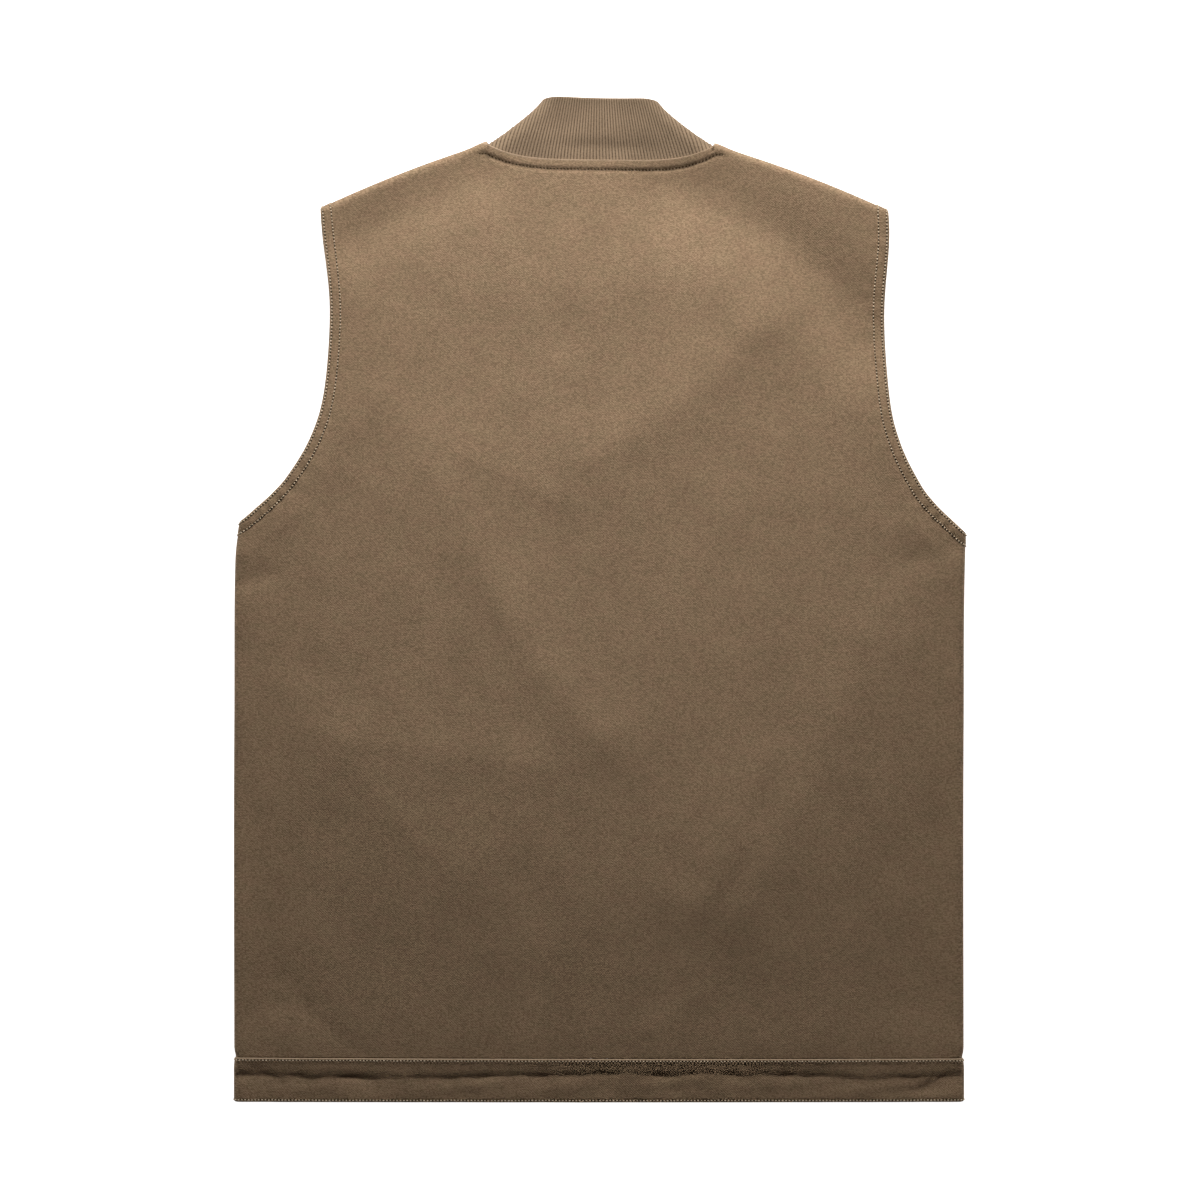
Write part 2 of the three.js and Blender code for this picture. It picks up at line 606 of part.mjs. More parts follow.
const vest = new THREE.Group();
vest.add(
  piece("back_panel", backPanel(), CANVAS_COLOR, 0.9),
  piece("front_panel_left", frontPanel(-1), CANVAS_COLOR, 0.9),
  piece("front_panel_right", frontPanel(1), CANVAS_COLOR, 0.9),
  piece("armhole_band_left", armholeBand(-1), CANVAS_COLOR, 0.9),
  piece("armhole_band_right", armholeBand(1), CANVAS_COLOR, 0.9),
  piece("hem_band", hemBand(), CANVAS_COLOR, 0.9),
  piece("rib_collar", ribCollar(), RIB_COLOR, 0.95),
  piece("front_zip", frontZip(), ZIP_COLOR, 0.6),
);

export default vest;
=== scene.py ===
# A sleeveless canvas work vest with a rib collar, lying on its front with the back up.
# Metres. The floor is z = 0, +Y runs from the hem to the collar and +X is the wearer's right.
import math

import bpy
import numpy as np
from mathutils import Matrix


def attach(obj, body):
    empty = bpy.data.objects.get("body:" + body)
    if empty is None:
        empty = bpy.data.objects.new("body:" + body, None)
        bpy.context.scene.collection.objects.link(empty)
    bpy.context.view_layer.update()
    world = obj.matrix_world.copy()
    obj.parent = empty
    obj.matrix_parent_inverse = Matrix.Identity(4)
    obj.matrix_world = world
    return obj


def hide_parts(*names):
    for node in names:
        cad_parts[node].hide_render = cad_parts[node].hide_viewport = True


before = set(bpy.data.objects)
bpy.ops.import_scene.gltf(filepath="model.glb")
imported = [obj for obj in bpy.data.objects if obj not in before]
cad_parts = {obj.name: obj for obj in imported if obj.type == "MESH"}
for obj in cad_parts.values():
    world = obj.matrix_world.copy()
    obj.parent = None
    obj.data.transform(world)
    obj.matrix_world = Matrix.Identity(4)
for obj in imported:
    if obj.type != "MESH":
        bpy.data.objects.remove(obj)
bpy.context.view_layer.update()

MM = 0.001

# Sizes of the vest laid flat
CHEST_WIDTH = 562 * MM
BACK_LENGTH = 725 * MM
SHOULDER_SPAN = 436 * MM
ARMHOLE_HOLLOW = 5 * MM
ACROSS_BACK = SHOULDER_SPAN - 2 * ARMHOLE_HOLLOW
SHOULDER_DROP = 50 * MM
SHOULDER_BOW = 2.7 * MM
ARMHOLE_DEPTH = 243.5 * MM
NECK_WIDTH = 175 * MM
NECK_DIP = 12 * MM
FRONT_NECK_DROP = 78 * MM
COLLAR_HEIGHT = 48 * MM
COLLAR_TOP_WIDTH = 90 * MM
COLLAR_CORNER = 3 * MM
COLLAR_SAG = 1.2 * MM
HEM_BAND_WIDTH = 34 * MM
ARMHOLE_BAND_WIDTH = 9 * MM
ZIP_WIDTH = 12 * MM

# Walls, heights and clearances
CANVAS_WALL = 2.4 * MM
BAND_WALL = 3 * MM
COLLAR_WALL = 3 * MM
ZIP_TAPE_WALL = 0.9 * MM
ZIP_TEETH_RISE = 0.55 * MM
ZIP_HEIGHT = 1.15 * MM
BODY_HEIGHT = 28 * MM
COLLAR_RISE = 18 * MM
FOLD_LINE_HEIGHT = 7.5 * MM
FOLD_RADIUS = 8 * MM
FOLD_SQUARENESS = 5
SEAM_GAP = 0.5 * MM

# How the cloth meets at its seams: the gap at the hem and the neck, the lap under the armhole
# bands, how far the collar's foot goes under the neck seam, and the round of a sewn edge
JOIN_GAP = 0.16 * MM
SEAM_LAP = 0.4 * MM
SEWN_UNDER = 1.2 * MM
SEWN_EDGE = 0.4 * MM

# How the shoulders and the collar's foot spread out at the neck points
NECK_FLARE = 1.8 * MM
NECK_FLARE_REACH = 11 * MM
COLLAR_SPREAD = 3.5 * MM
COLLAR_SPREAD_UP = 0.09

# Relief of the ribs, the stitched ridge along the neck seam, the hem and the press line
RIB_PITCH_BASE = 2.5 * MM
RIB_PITCH_TOP = 1.85 * MM
RIB_DEPTH = 0.9 * MM
NECK_RIDGE_WIDTH = 6.4 * MM
NECK_RIDGE_RISE = 1.2 * MM
NECK_PUCKER = 0.35 * MM
HEM_CREASE_DEPTH = 1.5 * MM
HEM_PILLOW = 0.4 * MM
HEM_SCALLOP = 0.14 * MM
ARMHOLE_PUCKER = 0.4 * MM
ARMHOLE_SINK = 0.35 * MM
PRESS_LINE_UP = 0.557
PRESS_LINE_DEPTH = 0.16 * MM
UNEVEN = 0.3 * MM
FINE_UNEVEN = 0.07 * MM

# Powers of the curves: the crown of the back, the neck seams, the collar's side and corner,
# and the way its foot goes under the neck seam
CROWN_CURVE = 2.4
NECK_CURVE = 4
FRONT_NECK_CURVE = 0.7
COLLAR_FLARE = 1.22
CORNER_CURVE = 10
SEWN_UNDER_CURVE = 8

# Steps and counts of the grids
BACK_COLUMN_STEP = 3.5 * MM
BACK_ROW_STEP = 3.2 * MM
FRONT_STEP = 7 * MM
HEM_COLUMN_STEP = 3 * MM
HEM_ROW_STEP = 1.6 * MM
ZIP_ROW_STEP = 0.9 * MM
ARMHOLE_STEP = 0.0088
FOLD_COLUMNS = 9
COLLAR_ROWS = 24
RIBS_ON_SIDE = 66
RIB_COLUMNS = 8
ARMHOLE_LINE_POINTS = 160

# How the vest was laid down, and how its sides draw in at the underarms and at the hem seam
LAY_SHIFT = 6 * MM
LAY_TURN = 0.015
LEFT_PINCH = 2.2 * MM
RIGHT_PINCH = 0.3 * MM
UNDERARM_PINCH_REACH = 16 * MM
HEM_PINCH = 1.2 * MM
HEM_PINCH_REACH = 4 * MM

# Sewing: the stitches, and how far each row lies from its edge or seam
STITCH_PITCH = 2.6 * MM
STITCH_LENGTH = 1.6 * MM
THREAD_RADIUS = 0.55 * MM
NECK_THREAD_RADIUS = 0.3 * MM
HOLE_REACH = 0.9 * MM
NECK_HOLE_REACH = 1.1 * MM
EDGE_ROW = 2.0 * MM
INNER_ROW = 8.1 * MM
HEM_TOP_ROW = 1.9 * MM
HEM_EDGE_ROW = 1.6 * MM
NECK_ROW = 7.4 * MM


def table(columns, rows):
    """A table of stations, with a name for each of its columns."""
    names = columns.split()
    return [dict(zip(names, row)) for row in rows]


# Height of the back over its length. up is a share of BACK_LENGTH above the hem,
# middle and side are shares of BODY_HEIGHT.
SECTIONS = table("up middle side", [
    (0.0, 0.6, 0.48),
    (0.06, 0.74, 0.5),
    (0.11, 0.79, 0.42),
    (0.22, 0.93, 0.38),
    (0.4, 1.0, 0.5),
    (0.6, 1.0, 0.66),
    (0.8, 0.96, 0.7),
    (0.93, 0.93, 0.88),
    (1.05, 0.88, 0.94),
])

# Edge of the armhole, from the underarm to the shoulder tip. up is a share of ARMHOLE_DEPTH,
# inward is a share of the way from the side to the narrowest place of the back.
ARMHOLE = table("up inward", [
    (0.0, 0.0),
    (0.04, 0.17),
    (0.086, 0.36),
    (0.15, 0.556),
    (0.274, 0.8),
    (0.42, 0.94),
    (0.68, 1.0),
    (0.9, 0.935),
    (1.0, 0.94),
])

# Dents and ridges of the back. Places are shares of half the chest width and of BACK_LENGTH,
# bow bends the line to its left by a share of its length, left and right are the widths of its
# two flanks in shares of half the chest width, soft is the round of its crest in shares of
# them, rise is a share of BODY_HEIGHT.
FOLDS = table("from_x from_up to_x to_up bow left right soft rise", [
    (0.22, 0.963, 0.69, 0.825, 0.058, 0.065, 0.06, 2, -0.42),
    (-0.34, 0.982, -0.68, 0.912, 0, 0.04, 0.05, 2, -0.24),
    (-0.2, 0.872, 0.28, 0.878, 0, 0.055, 0.05, 3, 0.1),
    (0.43, 0.825, -0.02, 0.686, 0.04, 0.11, 0.13, 0.2, 0.17),
    (0.46, 0.888, 0.41, 0.825, 0, 0.05, 0.05, 0.5, 0.06),
    (-0.46, 0.702, -0.13, 0.639, 0, 0.09, 0.06, 0.3, 0.075),
    (-0.45, 0.66, 0.0, 0.389, -0.05, 0.07, 0.08, 0.3, 0.12),
    (-0.72, 0.628, -0.82, 0.469, 0, 0.05, 0.05, 0.5, -0.05),
    (-0.76, 0.389, -0.19, 0.357, 0, 0.08, 0.1, 0.2, 0.07),
    (-0.68, 0.357, -0.41, 0.246, 0, 0.1, 0.09, 0.2, 0.08),
    (0.73, 0.49, 0.39, 0.214, 0.04, 0.12, 0.1, 0.3, 0.12),
    (0.45, 0.363, 0.32, 0.267, 0, 0.05, 0.05, 0.3, 0.06),
    (0.4, 0.272, 0.28, 0.211, 0, 0.02, 0.07, 0.3, 0.05),
    (-0.99, 0.588, -0.93, 0.6, 0, 0.02, 0.03, 1, -0.04),
    (-0.99, 0.543, -0.91, 0.552, 0, 0.03, 0.02, 1, -0.08),
    (-0.99, 0.479, -0.92, 0.467, 0, 0.03, 0.03, 1, -0.04),
    (-0.98, 0.135, -0.87, 0.1, 0, 0.015, 0.02, 0.5, -0.04),
    (-0.92, 0.16, -0.66, 0.055, -0.05, 0.015, 0.02, 0.5, -0.03),
    (0.28, 0.115, 0.13, 0.076, 0, 0.015, 0.02, 0.5, 0.02),
    (0.86, 0.58, 0.99, 0.592, 0, 0.03, 0.03, 1, -0.07),
    (0.84, 0.618, 0.97, 0.578, 0, 0.02, 0.02, 0.5, 0.035),
    (-0.97, 0.58, -0.84, 0.62, 0, 0.02, 0.02, 0.5, 0.035),
    (0.96, 0.543, 0.99, 0.479, 0, 0.03, 0.03, 1, -0.04),
    (-0.16, 0.888, -0.12, 0.809, 0, 0.03, 0.03, 1, -0.04),
    (-0.46, 0.84, -0.56, 0.761, 0, 0.03, 0.03, 1, -0.04),
    (-0.49, 0.819, -0.67, 0.713, 0, 0.04, 0.04, 0.5, 0.06),
    (-0.98, 0.026, -0.9, 0.01, 0, 0.01, 0.02, 0.5, -0.06),
    (-0.94, 0.036, -0.88, 0.024, 0, 0.01, 0.02, 0.5, -0.04),
    (0.97, 0.03, 0.88, 0.014, 0, 0.02, 0.01, 0.5, -0.05),
])

# How the vest was laid down. up is a share of BACK_LENGTH above the hem, shift is a share of
# LAY_SHIFT to the right, turn is a share of LAY_TURN.
LAY = table("up shift turn", [
    (0.0, 0.0, 0.0),
    (0.4, 0.0, 0.75),
    (0.6, 0.25, 1.0),
    (0.68, 0.75, 0.85),
    (0.78, 1.05, 0.65),
    (0.92, 0.85, 0.4),
    (1.0, 0.28, 0.3),
    (1.06, 0.2, 1.4),
])

# Places worked out from the sizes
HEM_Y = -(BACK_LENGTH + COLLAR_HEIGHT) / 2
NAPE_Y = HEM_Y + BACK_LENGTH
SIDE_X = CHEST_WIDTH / 2 - CANVAS_WALL / 2
NECK_X = NECK_WIDTH / 2
SHOULDER_RUN = (SHOULDER_SPAN - NECK_WIDTH) / 2
SHOULDER_SLOPE = math.atan2(SHOULDER_DROP, SHOULDER_RUN)
TIP_BOW = 4 * SHOULDER_BOW * (1 - 1.2 * ARMHOLE_BAND_WIDTH / SHOULDER_RUN)
TIP_SLOPE = math.atan2(SHOULDER_DROP + TIP_BOW, SHOULDER_RUN)
NECK_Y = NAPE_Y + NECK_DIP - CANVAS_WALL / 2
TIP_Y = NECK_Y - SHOULDER_DROP
UNDERARM_Y = TIP_Y - ARMHOLE_DEPTH
HEM_SEAM_Y = HEM_Y + HEM_BAND_WIDTH + JOIN_GAP
BODY_LOW = SECTIONS[0]["side"] * BODY_HEIGHT
PANEL_INSET = ARMHOLE_BAND_WIDTH - SEAM_LAP
ZIP_EDGE = ZIP_WIDTH / 2 + SEAM_GAP


def mix(a, b, share):
    return a + (b - a) * share


def smooth(share):
    share = np.clip(share, 0, 1)
    return share * share * (3 - 2 * share)


def hill(away, spread):
    return np.exp(-((away / spread) ** 2))


def read_table(table, up, column):
    """Reads a table of stations along a smooth curve through its rows."""
    ups = np.array([row["up"] for row in table])
    values = np.array([row[column] for row in table])
    slopes = np.gradient(values, ups)
    low = np.clip(np.searchsorted(ups, up, side="right") - 1, 0, len(ups) - 2)
    span = ups[low + 1] - ups[low]
    share = np.clip((up - ups[low]) / span, 0, 1)
    ease = smooth(share)
    leave = share * (1 - share) ** 2 * span * slopes[low]
    arrive = share**2 * (1 - share) * span * slopes[low + 1]
    return mix(values[low], values[low + 1], ease) + leave - arrive


def waves(x, y, seed, shortest, longest, count=14):
    """A gentle unevenness, from -1 to 1, made of sine waves in all directions."""
    draw = np.random.default_rng(seed)
    total = np.zeros(np.broadcast(x, y).shape)
    for length in np.geomspace(shortest, longest, count):
        turn, phase = draw.uniform(0, 2 * math.pi, 2)
        across = (x * math.cos(turn) + y * math.sin(turn)) / length
        total = total + np.sin(2 * math.pi * across + phase)
    return total / math.sqrt(count) / 1.6


# Outline


def armhole_curve(t):
    """A smooth curve through the rows of ARMHOLE, from the underarm at 0 to the tip at 1."""
    reach = SIDE_X - ACROSS_BACK / 2
    points = np.array([[SIDE_X - row["inward"] * reach, row["up"] * ARMHOLE_DEPTH] for row in ARMHOLE])
    points[:, 1] += UNDERARM_Y
    points[-1] = SHOULDER_SPAN / 2, shoulder_y(SHOULDER_SPAN / 2)
    place = np.clip(t, 0, 1) * (len(points) - 1)
    row = np.minimum(place.astype(int), len(points) - 2)
    share = (place - row)[..., None]
    before = points[np.maximum(row - 1, 0)]
    start = points[row]
    end = points[row + 1]
    after = points[np.minimum(row + 2, len(points) - 1)]
    leave = (end - before) / 2
    arrive = (after - start) / 2
    cubic = 2 * start - 2 * end + leave + arrive
    square = -3 * start + 3 * end - 2 * leave - arrive
    return ((cubic * share + square) * share + leave) * share + start


def shoulder_y(x):
    """Shoulder line over a place across, bowed a little upwards, and flared at the neck."""
    share = np.clip((np.abs(x) - NECK_X) / SHOULDER_RUN, 0, 1)
    straight = NECK_Y - (np.abs(x) - NECK_X) * math.tan(SHOULDER_SLOPE)
    straight = straight + NECK_FLARE * hill(np.abs(x) - NECK_X, NECK_FLARE_REACH)
    return straight + 4 * SHOULDER_BOW * share * (1 - share)


def armhole_point(t, inset):
    """A point of the right armhole's edge strip, inset from the outline. The strip is cut
    along the side fold at its lower end and along the shoulder fold at its upper end."""
    t = np.asarray(t, float)
    step = 1e-4
    tangent = armhole_curve(np.minimum(t + step, 1)) - armhole_curve(np.maximum(t - step, 0))
    tangent /= np.linalg.norm(tangent, axis=-1, keepdims=True)
    square = np.stack([-tangent[..., 1], tangent[..., 0]], axis=-1)
    down = np.array([0.0, -1.0])
    shoulder = np.array([-math.cos(TIP_SLOPE), math.sin(TIP_SLOPE)])
    way = mix(square, down, smooth(1 - t / 0.3)[..., None])
    way = mix(way, shoulder, smooth((t - 0.9) / 0.1)[..., None])
    reach = np.asarray(inset) / (way * square).sum(axis=-1)
    return armhole_curve(t) + way * reach[..., None]


def neck_seam_y(x):
    """Neck seam at the back: a shallow dip between the neck points."""
    return NECK_Y - NECK_DIP * (1 - np.minimum(np.abs(x) / NECK_X, 1) ** NECK_CURVE)


def front_neck_y(x, clear):
    """Neck seam at the front: a deep round dip, moved outwards by a clearance."""
    share = np.minimum(np.abs(x) / (NECK_X + clear), 1)
    return NECK_Y - (FRONT_NECK_DROP + clear) * (1 - share * share) ** FRONT_NECK_CURVE


# Relief of the cloth


def fold_rise(x, y):
    """Rise of all dents and ridges. Each has a rounded crest and two flanks that die away."""
    half = CHEST_WIDTH / 2
    total = np.zeros(np.broadcast(x, y).shape)
    for fold in FOLDS:
        start_x = fold["from_x"] * half
        start_y = HEM_Y + fold["from_up"] * BACK_LENGTH
        run_x = fold["to_x"] * half - start_x
        run_y = HEM_Y + fold["to_up"] * BACK_LENGTH - start_y
        length = math.hypot(run_x, run_y)
        along = ((x - start_x) * run_x + (y - start_y) * run_y) / length**2
        inside = np.clip(along, 0, 1)
        aside = (run_x * (y - start_y) - run_y * (x - start_x)) / length
        aside = aside - 4 * fold["bow"] * length * inside * (1 - inside)
        width = np.where(aside > 0, fold["left"], fold["right"]) * half
        crest = fold["soft"] * width
        flank = np.exp((crest - np.hypot(aside, crest)) / width)
        spread = (fold["left"] + fold["right"]) / 2 * (1 + fold["soft"] / 1.5) * half
        fade = hill((along - inside) * length, spread)
        total = total + fold["rise"] * BODY_HEIGHT * flank * fade
    return total


def neck_ridge(x, y):
    """The ridge over the turned seam allowance below the collar, with its stitched groove."""
    below = neck_seam_y(x) - y
    ridge = NECK_RIDGE_RISE * smooth((NECK_RIDGE_WIDTH + 1 * MM - below) / (1.6 * MM))
    groove = 0.9 * NECK_RIDGE_RISE * hill(below - NECK_ROW, 1.0 * MM)
    ripple = np.sin(x / (2.1 * MM) + 2 * np.sin(x / (17 * MM)))
    pucker = NECK_PUCKER * ripple * hill(below - 14 * MM, 7 * MM)
    inside = smooth((NECK_X + 14 * MM - np.abs(x)) / (12 * MM))
    return inside * (ridge - groove + pucker)


def hem_crease(x, y):
    """The long uneven crease that runs along the hem band, with the unevenness beside it."""
    above = y - HEM_Y
    wander = 0.05 * HEM_BAND_WIDTH * np.sin(9 * x / CHEST_WIDTH + 1)
    wander = wander + 0.05 * HEM_BAND_WIDTH * waves(x, 0 * x, 5, 18 * MM, 120 * MM)
    aside = above - 0.6 * HEM_BAND_WIDTH - wander
    width = np.where(aside > 0, 0.07, 0.2) * HEM_BAND_WIDTH
    crest = 0.03 * HEM_BAND_WIDTH
    deep = HEM_CREASE_DEPTH * np.clip(1 + 0.6 * waves(x, 0 * x, 6, 14 * MM, 90 * MM), 0.2, 1.8)
    crease = -deep * np.exp((crest - np.hypot(aside, crest)) / width)
    pillow = HEM_PILLOW * waves(x, 1.5 * above, 7, 16 * MM, 60 * MM)
    pillow = pillow * hill(above - 0.3 * HEM_BAND_WIDTH, 0.28 * HEM_BAND_WIDTH)
    sway = 1.5 * waves(x, 0 * x, 8, 60 * MM, 150 * MM)
    scallop = HEM_SCALLOP * np.sin(2 * math.pi * x / (14 * MM) + sway)
    scallop = scallop * hill(above - 0.84 * HEM_BAND_WIDTH, 0.1 * HEM_BAND_WIDTH)
    inside = smooth((HEM_BAND_WIDTH + 2 * MM - above) / (4 * MM))
    return (crease + pillow + scallop) * inside


ARMHOLE_LINE = armhole_curve(np.linspace(0, 1, ARMHOLE_LINE_POINTS))
ARMHOLE_ALONG = np.concatenate([[0], np.cumsum(np.hypot(*np.diff(ARMHOLE_LINE, axis=0).T))])


def armhole_distance(x, y):
    """Distance from the nearer armhole's edge, and the length along it from the underarm."""
    away = np.full(np.shape(x), 1.0)
    along = np.zeros(np.shape(x))
    for place, length in zip(ARMHOLE_LINE, ARMHOLE_ALONG):
        reach = np.hypot(np.abs(x) - place[0], y - place[1])
        closer = reach < away
        away = np.where(closer, reach, away)
        along = np.where(closer, length, along)
    return away, along


def armhole_puckers(x, y):
    """Small gathers that run out from the inner row of stitches."""
    away, along = armhole_distance(x, y)
    right = 0.2 + 0.8 * hill(along - 190 * MM, 75 * MM) + 0.9 * hill(along - 25 * MM, 30 * MM)
    left = 0.25 + 0.9 * hill(along - 60 * MM, 45 * MM)
    strength = np.where(x > 0, right, left)
    sway = 2.2 * waves(along, 0 * along, 9, 40 * MM, 120 * MM)
    ripple = np.sin(2 * math.pi * along / (12.5 * MM) + sway)
    reach = hill(away - ARMHOLE_BAND_WIDTH, 11 * MM)
    dip = -ARMHOLE_SINK * hill(away - ARMHOLE_BAND_WIDTH, 2.2 * MM)
    return ARMHOLE_PUCKER * strength * ripple * reach + dip


def press_line(x, up):
    """The faint sharp line across the back where the vest was folded in its packing."""
    away = (up - PRESS_LINE_UP) * BACK_LENGTH - 1.5 * MM * np.sin(7 * x / CHEST_WIDTH)
    strength = np.clip(0.6 + 0.6 * waves(x, 0 * x, 10, 30 * MM, 150 * MM), 0, 1)
    return -PRESS_LINE_DEPTH * strength * hill(away, 1.1 * MM) * (np.abs(x) < 0.82 * SIDE_X)


def back_height(x, y):
    """Height of the back's middle surface over the floor, before its edges roll down."""
    up = (y - HEM_Y) / BACK_LENGTH
    across = np.minimum(np.abs(x) / (CHEST_WIDTH / 2), 1)
    middle = read_table(SECTIONS, up, "middle") * BODY_HEIGHT
    side = read_table(SECTIONS, up, "side") * BODY_HEIGHT
    crown = mix(middle, side, across**CROWN_CURVE)
    detail = neck_ridge(x, y) + hem_crease(x, y) + armhole_puckers(x, y) + press_line(x, up)
    uneven = UNEVEN * waves(x, y, 11, 40 * MM, 240 * MM)
    fine = FINE_UNEVEN * waves(x, y, 12, 9 * MM, 30 * MM)
    return np.maximum(crown + fold_rise(x, y), BODY_LOW) + detail + uneven + fine


def fold_distance(x, y):
    """Distance inside the nearer fold line, the side or the shoulder."""
    side = SIDE_X - np.abs(x)
    shoulder = (shoulder_y(x) - y) * math.cos(SHOULDER_SLOPE)
    return np.minimum(side, shoulder)


def body_points(x, y, face, wall=CANVAS_WALL, clear=0.0):
    """Points of the cloth's middle surface, which rolls over at the fold lines. face is 1 for
    the back, on top, and -1 for the front, on the floor."""
    x, y = np.broadcast_arrays(x, y)
    share = np.clip(fold_distance(x, y) / FOLD_RADIUS, 0, 1)
    turned = np.sqrt(np.maximum(1 - (1 - share) ** FOLD_SQUARENESS, 0))
    base = FOLD_LINE_HEIGHT + face * clear / 2
    top = back_height(x, y) if face > 0 else wall / 2
    return np.stack([x, y, mix(base, top, turned)], axis=-1)


def settle(points):
    """Moves points as the vest was laid down, and presses what rests on the floor flat."""
    x, y = points[..., 0], points[..., 1]
    up = np.clip((y - HEM_Y) / BACK_LENGTH, 0, LAY[-1]["up"])
    underarm = np.where(x > 0, RIGHT_PINCH, LEFT_PINCH) * hill(y - UNDERARM_Y, UNDERARM_PINCH_REACH)
    pinch = underarm + HEM_PINCH * hill(y - HEM_SEAM_Y, HEM_PINCH_REACH)
    moved = points.copy()
    moved[..., 0] = x * (1 - pinch / SIDE_X) + LAY_SHIFT * read_table(LAY, up, "shift")
    moved[..., 1] = y - LAY_TURN * read_table(LAY, up, "turn") * x
    moved[..., 2] = np.maximum(points[..., 2], 0)
    return moved


# Meshes


def grid_normals(grid, ring=False):
    if ring:
        along = np.roll(grid, -1, axis=0) - np.roll(grid, 1, axis=0)
    else:
        along = np.gradient(grid, axis=0)
    across = np.gradient(grid, axis=1)
    normal = np.cross(across, along)
    return normal / np.linalg.norm(normal, axis=2, keepdims=True)


def rounded(distance, radius):
    """Share of the full thickness at a distance from a rounded edge."""
    share = np.clip(distance / radius, 0, 1)
    return np.maximum(np.sqrt(1 - (1 - share) ** 2), 0.06)


def linked(name, data):
    """A new object with its data, in the scene."""
    obj = bpy.data.objects.new(name, data)
    bpy.context.scene.collection.objects.link(obj)
    return obj


def mesh_object(name, points, quads, attributes):
    mesh = bpy.data.meshes.new(name)
    mesh.from_pydata(points.tolist(), [], quads.tolist())
    mesh.polygons.foreach_set("use_smooth", np.ones(len(quads), bool))
    corners = np.zeros(len(mesh.loops), int)
    mesh.loops.foreach_get("vertex_index", corners)
    for key, values in attributes.items():
        if values.ndim == 2:
            layer = mesh.uv_layers.new(name=key)
            layer.data.foreach_set("uv", values[corners].astype(np.float32).ravel())
        else:
            layer = mesh.attributes.new(key, "FLOAT", "POINT")
            layer.data.foreach_set("value", values.astype(np.float32))
    mesh.update()
    return linked(name, mesh)


def wall_object(name, grid, out, into, ring=False, flip=False, relief=0.0, **attributes):
    """A closed wall round a grid of middle points: out and into are its two half walls, and
    relief is raised on the outer side alone. An attribute is an array over the grid."""
    normal = grid_normals(grid, ring) * (-1 if flip else 1)
    outer = grid + normal * (out + relief)[..., None]
    inner = grid - normal * into[..., None]
    points = settle(np.concatenate([outer.reshape(-1, 3), inner.reshape(-1, 3)]))
    rows, columns = grid.shape[:2]
    index = np.arange(rows * columns).reshape(rows, columns)
    below = index if ring else index[:-1]
    above = np.roll(index, -1, axis=0) if ring else index[1:]
    count = rows * columns
    cells = np.stack([below[:, :-1], below[:, 1:], above[:, 1:], above[:, :-1]], axis=-1).reshape(-1, 4)
    walls = [
        cells,
        cells[:, ::-1] + count,
        np.stack([below[:, 0], above[:, 0], above[:, 0] + count, below[:, 0] + count], axis=-1),
        np.stack([below[:, -1], below[:, -1] + count, above[:, -1] + count, above[:, -1]], axis=-1),
    ]
    if not ring:
        first, last = index[0], index[-1]
        walls.append(np.stack([first[:-1], first[:-1] + count, first[1:] + count, first[1:]], axis=-1))
        walls.append(np.stack([last[:-1], last[1:], last[1:] + count, last[:-1] + count], axis=-1))
    quads = np.concatenate(walls)
    if flip:
        quads = quads[:, ::-1]
    flat = {key: np.concatenate([v.reshape(count, -1)] * 2) for key, v in attributes.items()}
    flat = {key: v if v.shape[1] == 2 else v[:, 0] for key, v in flat.items()}
    return mesh_object(name, points, quads, flat)


def cloth_uv(grid):
    return grid[..., :2] + 0.5


def fold_steps(count):
    """Distances from a fold line that follow its round in equal turns."""
    turns = np.linspace(0, math.pi / 2, count, endpoint=False)
    return FOLD_RADIUS * (1 - np.cos(turns) ** (2 / FOLD_SQUARENESS))


def refine(steps, largest):
    """Places from the first step to the last, with no interval over the largest."""
    out = [steps[0]]
    for low, high in zip(steps[:-1], steps[1:]):
        count = max(1, math.ceil(abs(high - low) / largest))
        out.extend(np.linspace(low, high, count + 1)[1:])
    return np.array(out)


def find_t(value, measure, start, end):
    """Finds t on the armhole where a measure that grows or falls steadily has a value."""
    low, high = start, end
    rising = measure(end) > measure(start)
    for _ in range(40):
        middle = (low + high) / 2
        if (measure(middle) < value) == rising:
            low = middle
        else:
            high = middle
    return (low + high) / 2


def armhole_steps():
    """Places along the armhole: in equal turns round the two folds, and evenly between."""

    def gap(t):
        return fold_distance(*armhole_point(t, 0))

    turns = fold_steps(FOLD_COLUMNS)[1:]
    lower = [find_t(step, gap, 0.0, 0.3) for step in turns]
    upper = [find_t(step, gap, 1.0, 0.7) for step in turns][::-1]
    even = refine([lower[-1], upper[0]], ARMHOLE_STEP)[1:-1]
    return np.array([0.0, *lower, *even, *upper, 1.0])


ARMHOLE_STEPS = armhole_steps()
PANEL_CORNER = armhole_point(0.0, PANEL_INSET)
PANEL_TIP = armhole_point(1.0, PANEL_INSET)
EDGE_STEPS = np.array([0, 0.12, 0.3, 0.6, 1.3, 2.6, 4.4]) * MM


def panel_rows(largest):
    """Shares of a panel's length and the half width there."""
    low = refine([HEM_SEAM_Y, *(HEM_SEAM_Y + EDGE_STEPS[1:]), PANEL_CORNER[1]], largest)
    seam = armhole_point(ARMHOLE_STEPS, PANEL_INSET)
    heights = np.concatenate([low[:-1], seam[:, 1]])
    edges = np.concatenate([np.full(len(low) - 1, SIDE_X), seam[:, 0]])
    top = PANEL_TIP[1] - EDGE_STEPS[1:] * (PANEL_TIP[1] - HEM_SEAM_Y) / BACK_LENGTH
    edges = np.concatenate([edges, np.interp(top, heights, edges)])
    heights = np.concatenate([heights, top])
    order = np.argsort(heights)
    heights, edges = heights[order], edges[order]
    keep = np.concatenate([[True], np.diff(heights) > 0.05 * MM])
    heights, edges = heights[keep], edges[keep]
    return (heights - HEM_SEAM_Y) / (PANEL_TIP[1] - HEM_SEAM_Y), edges


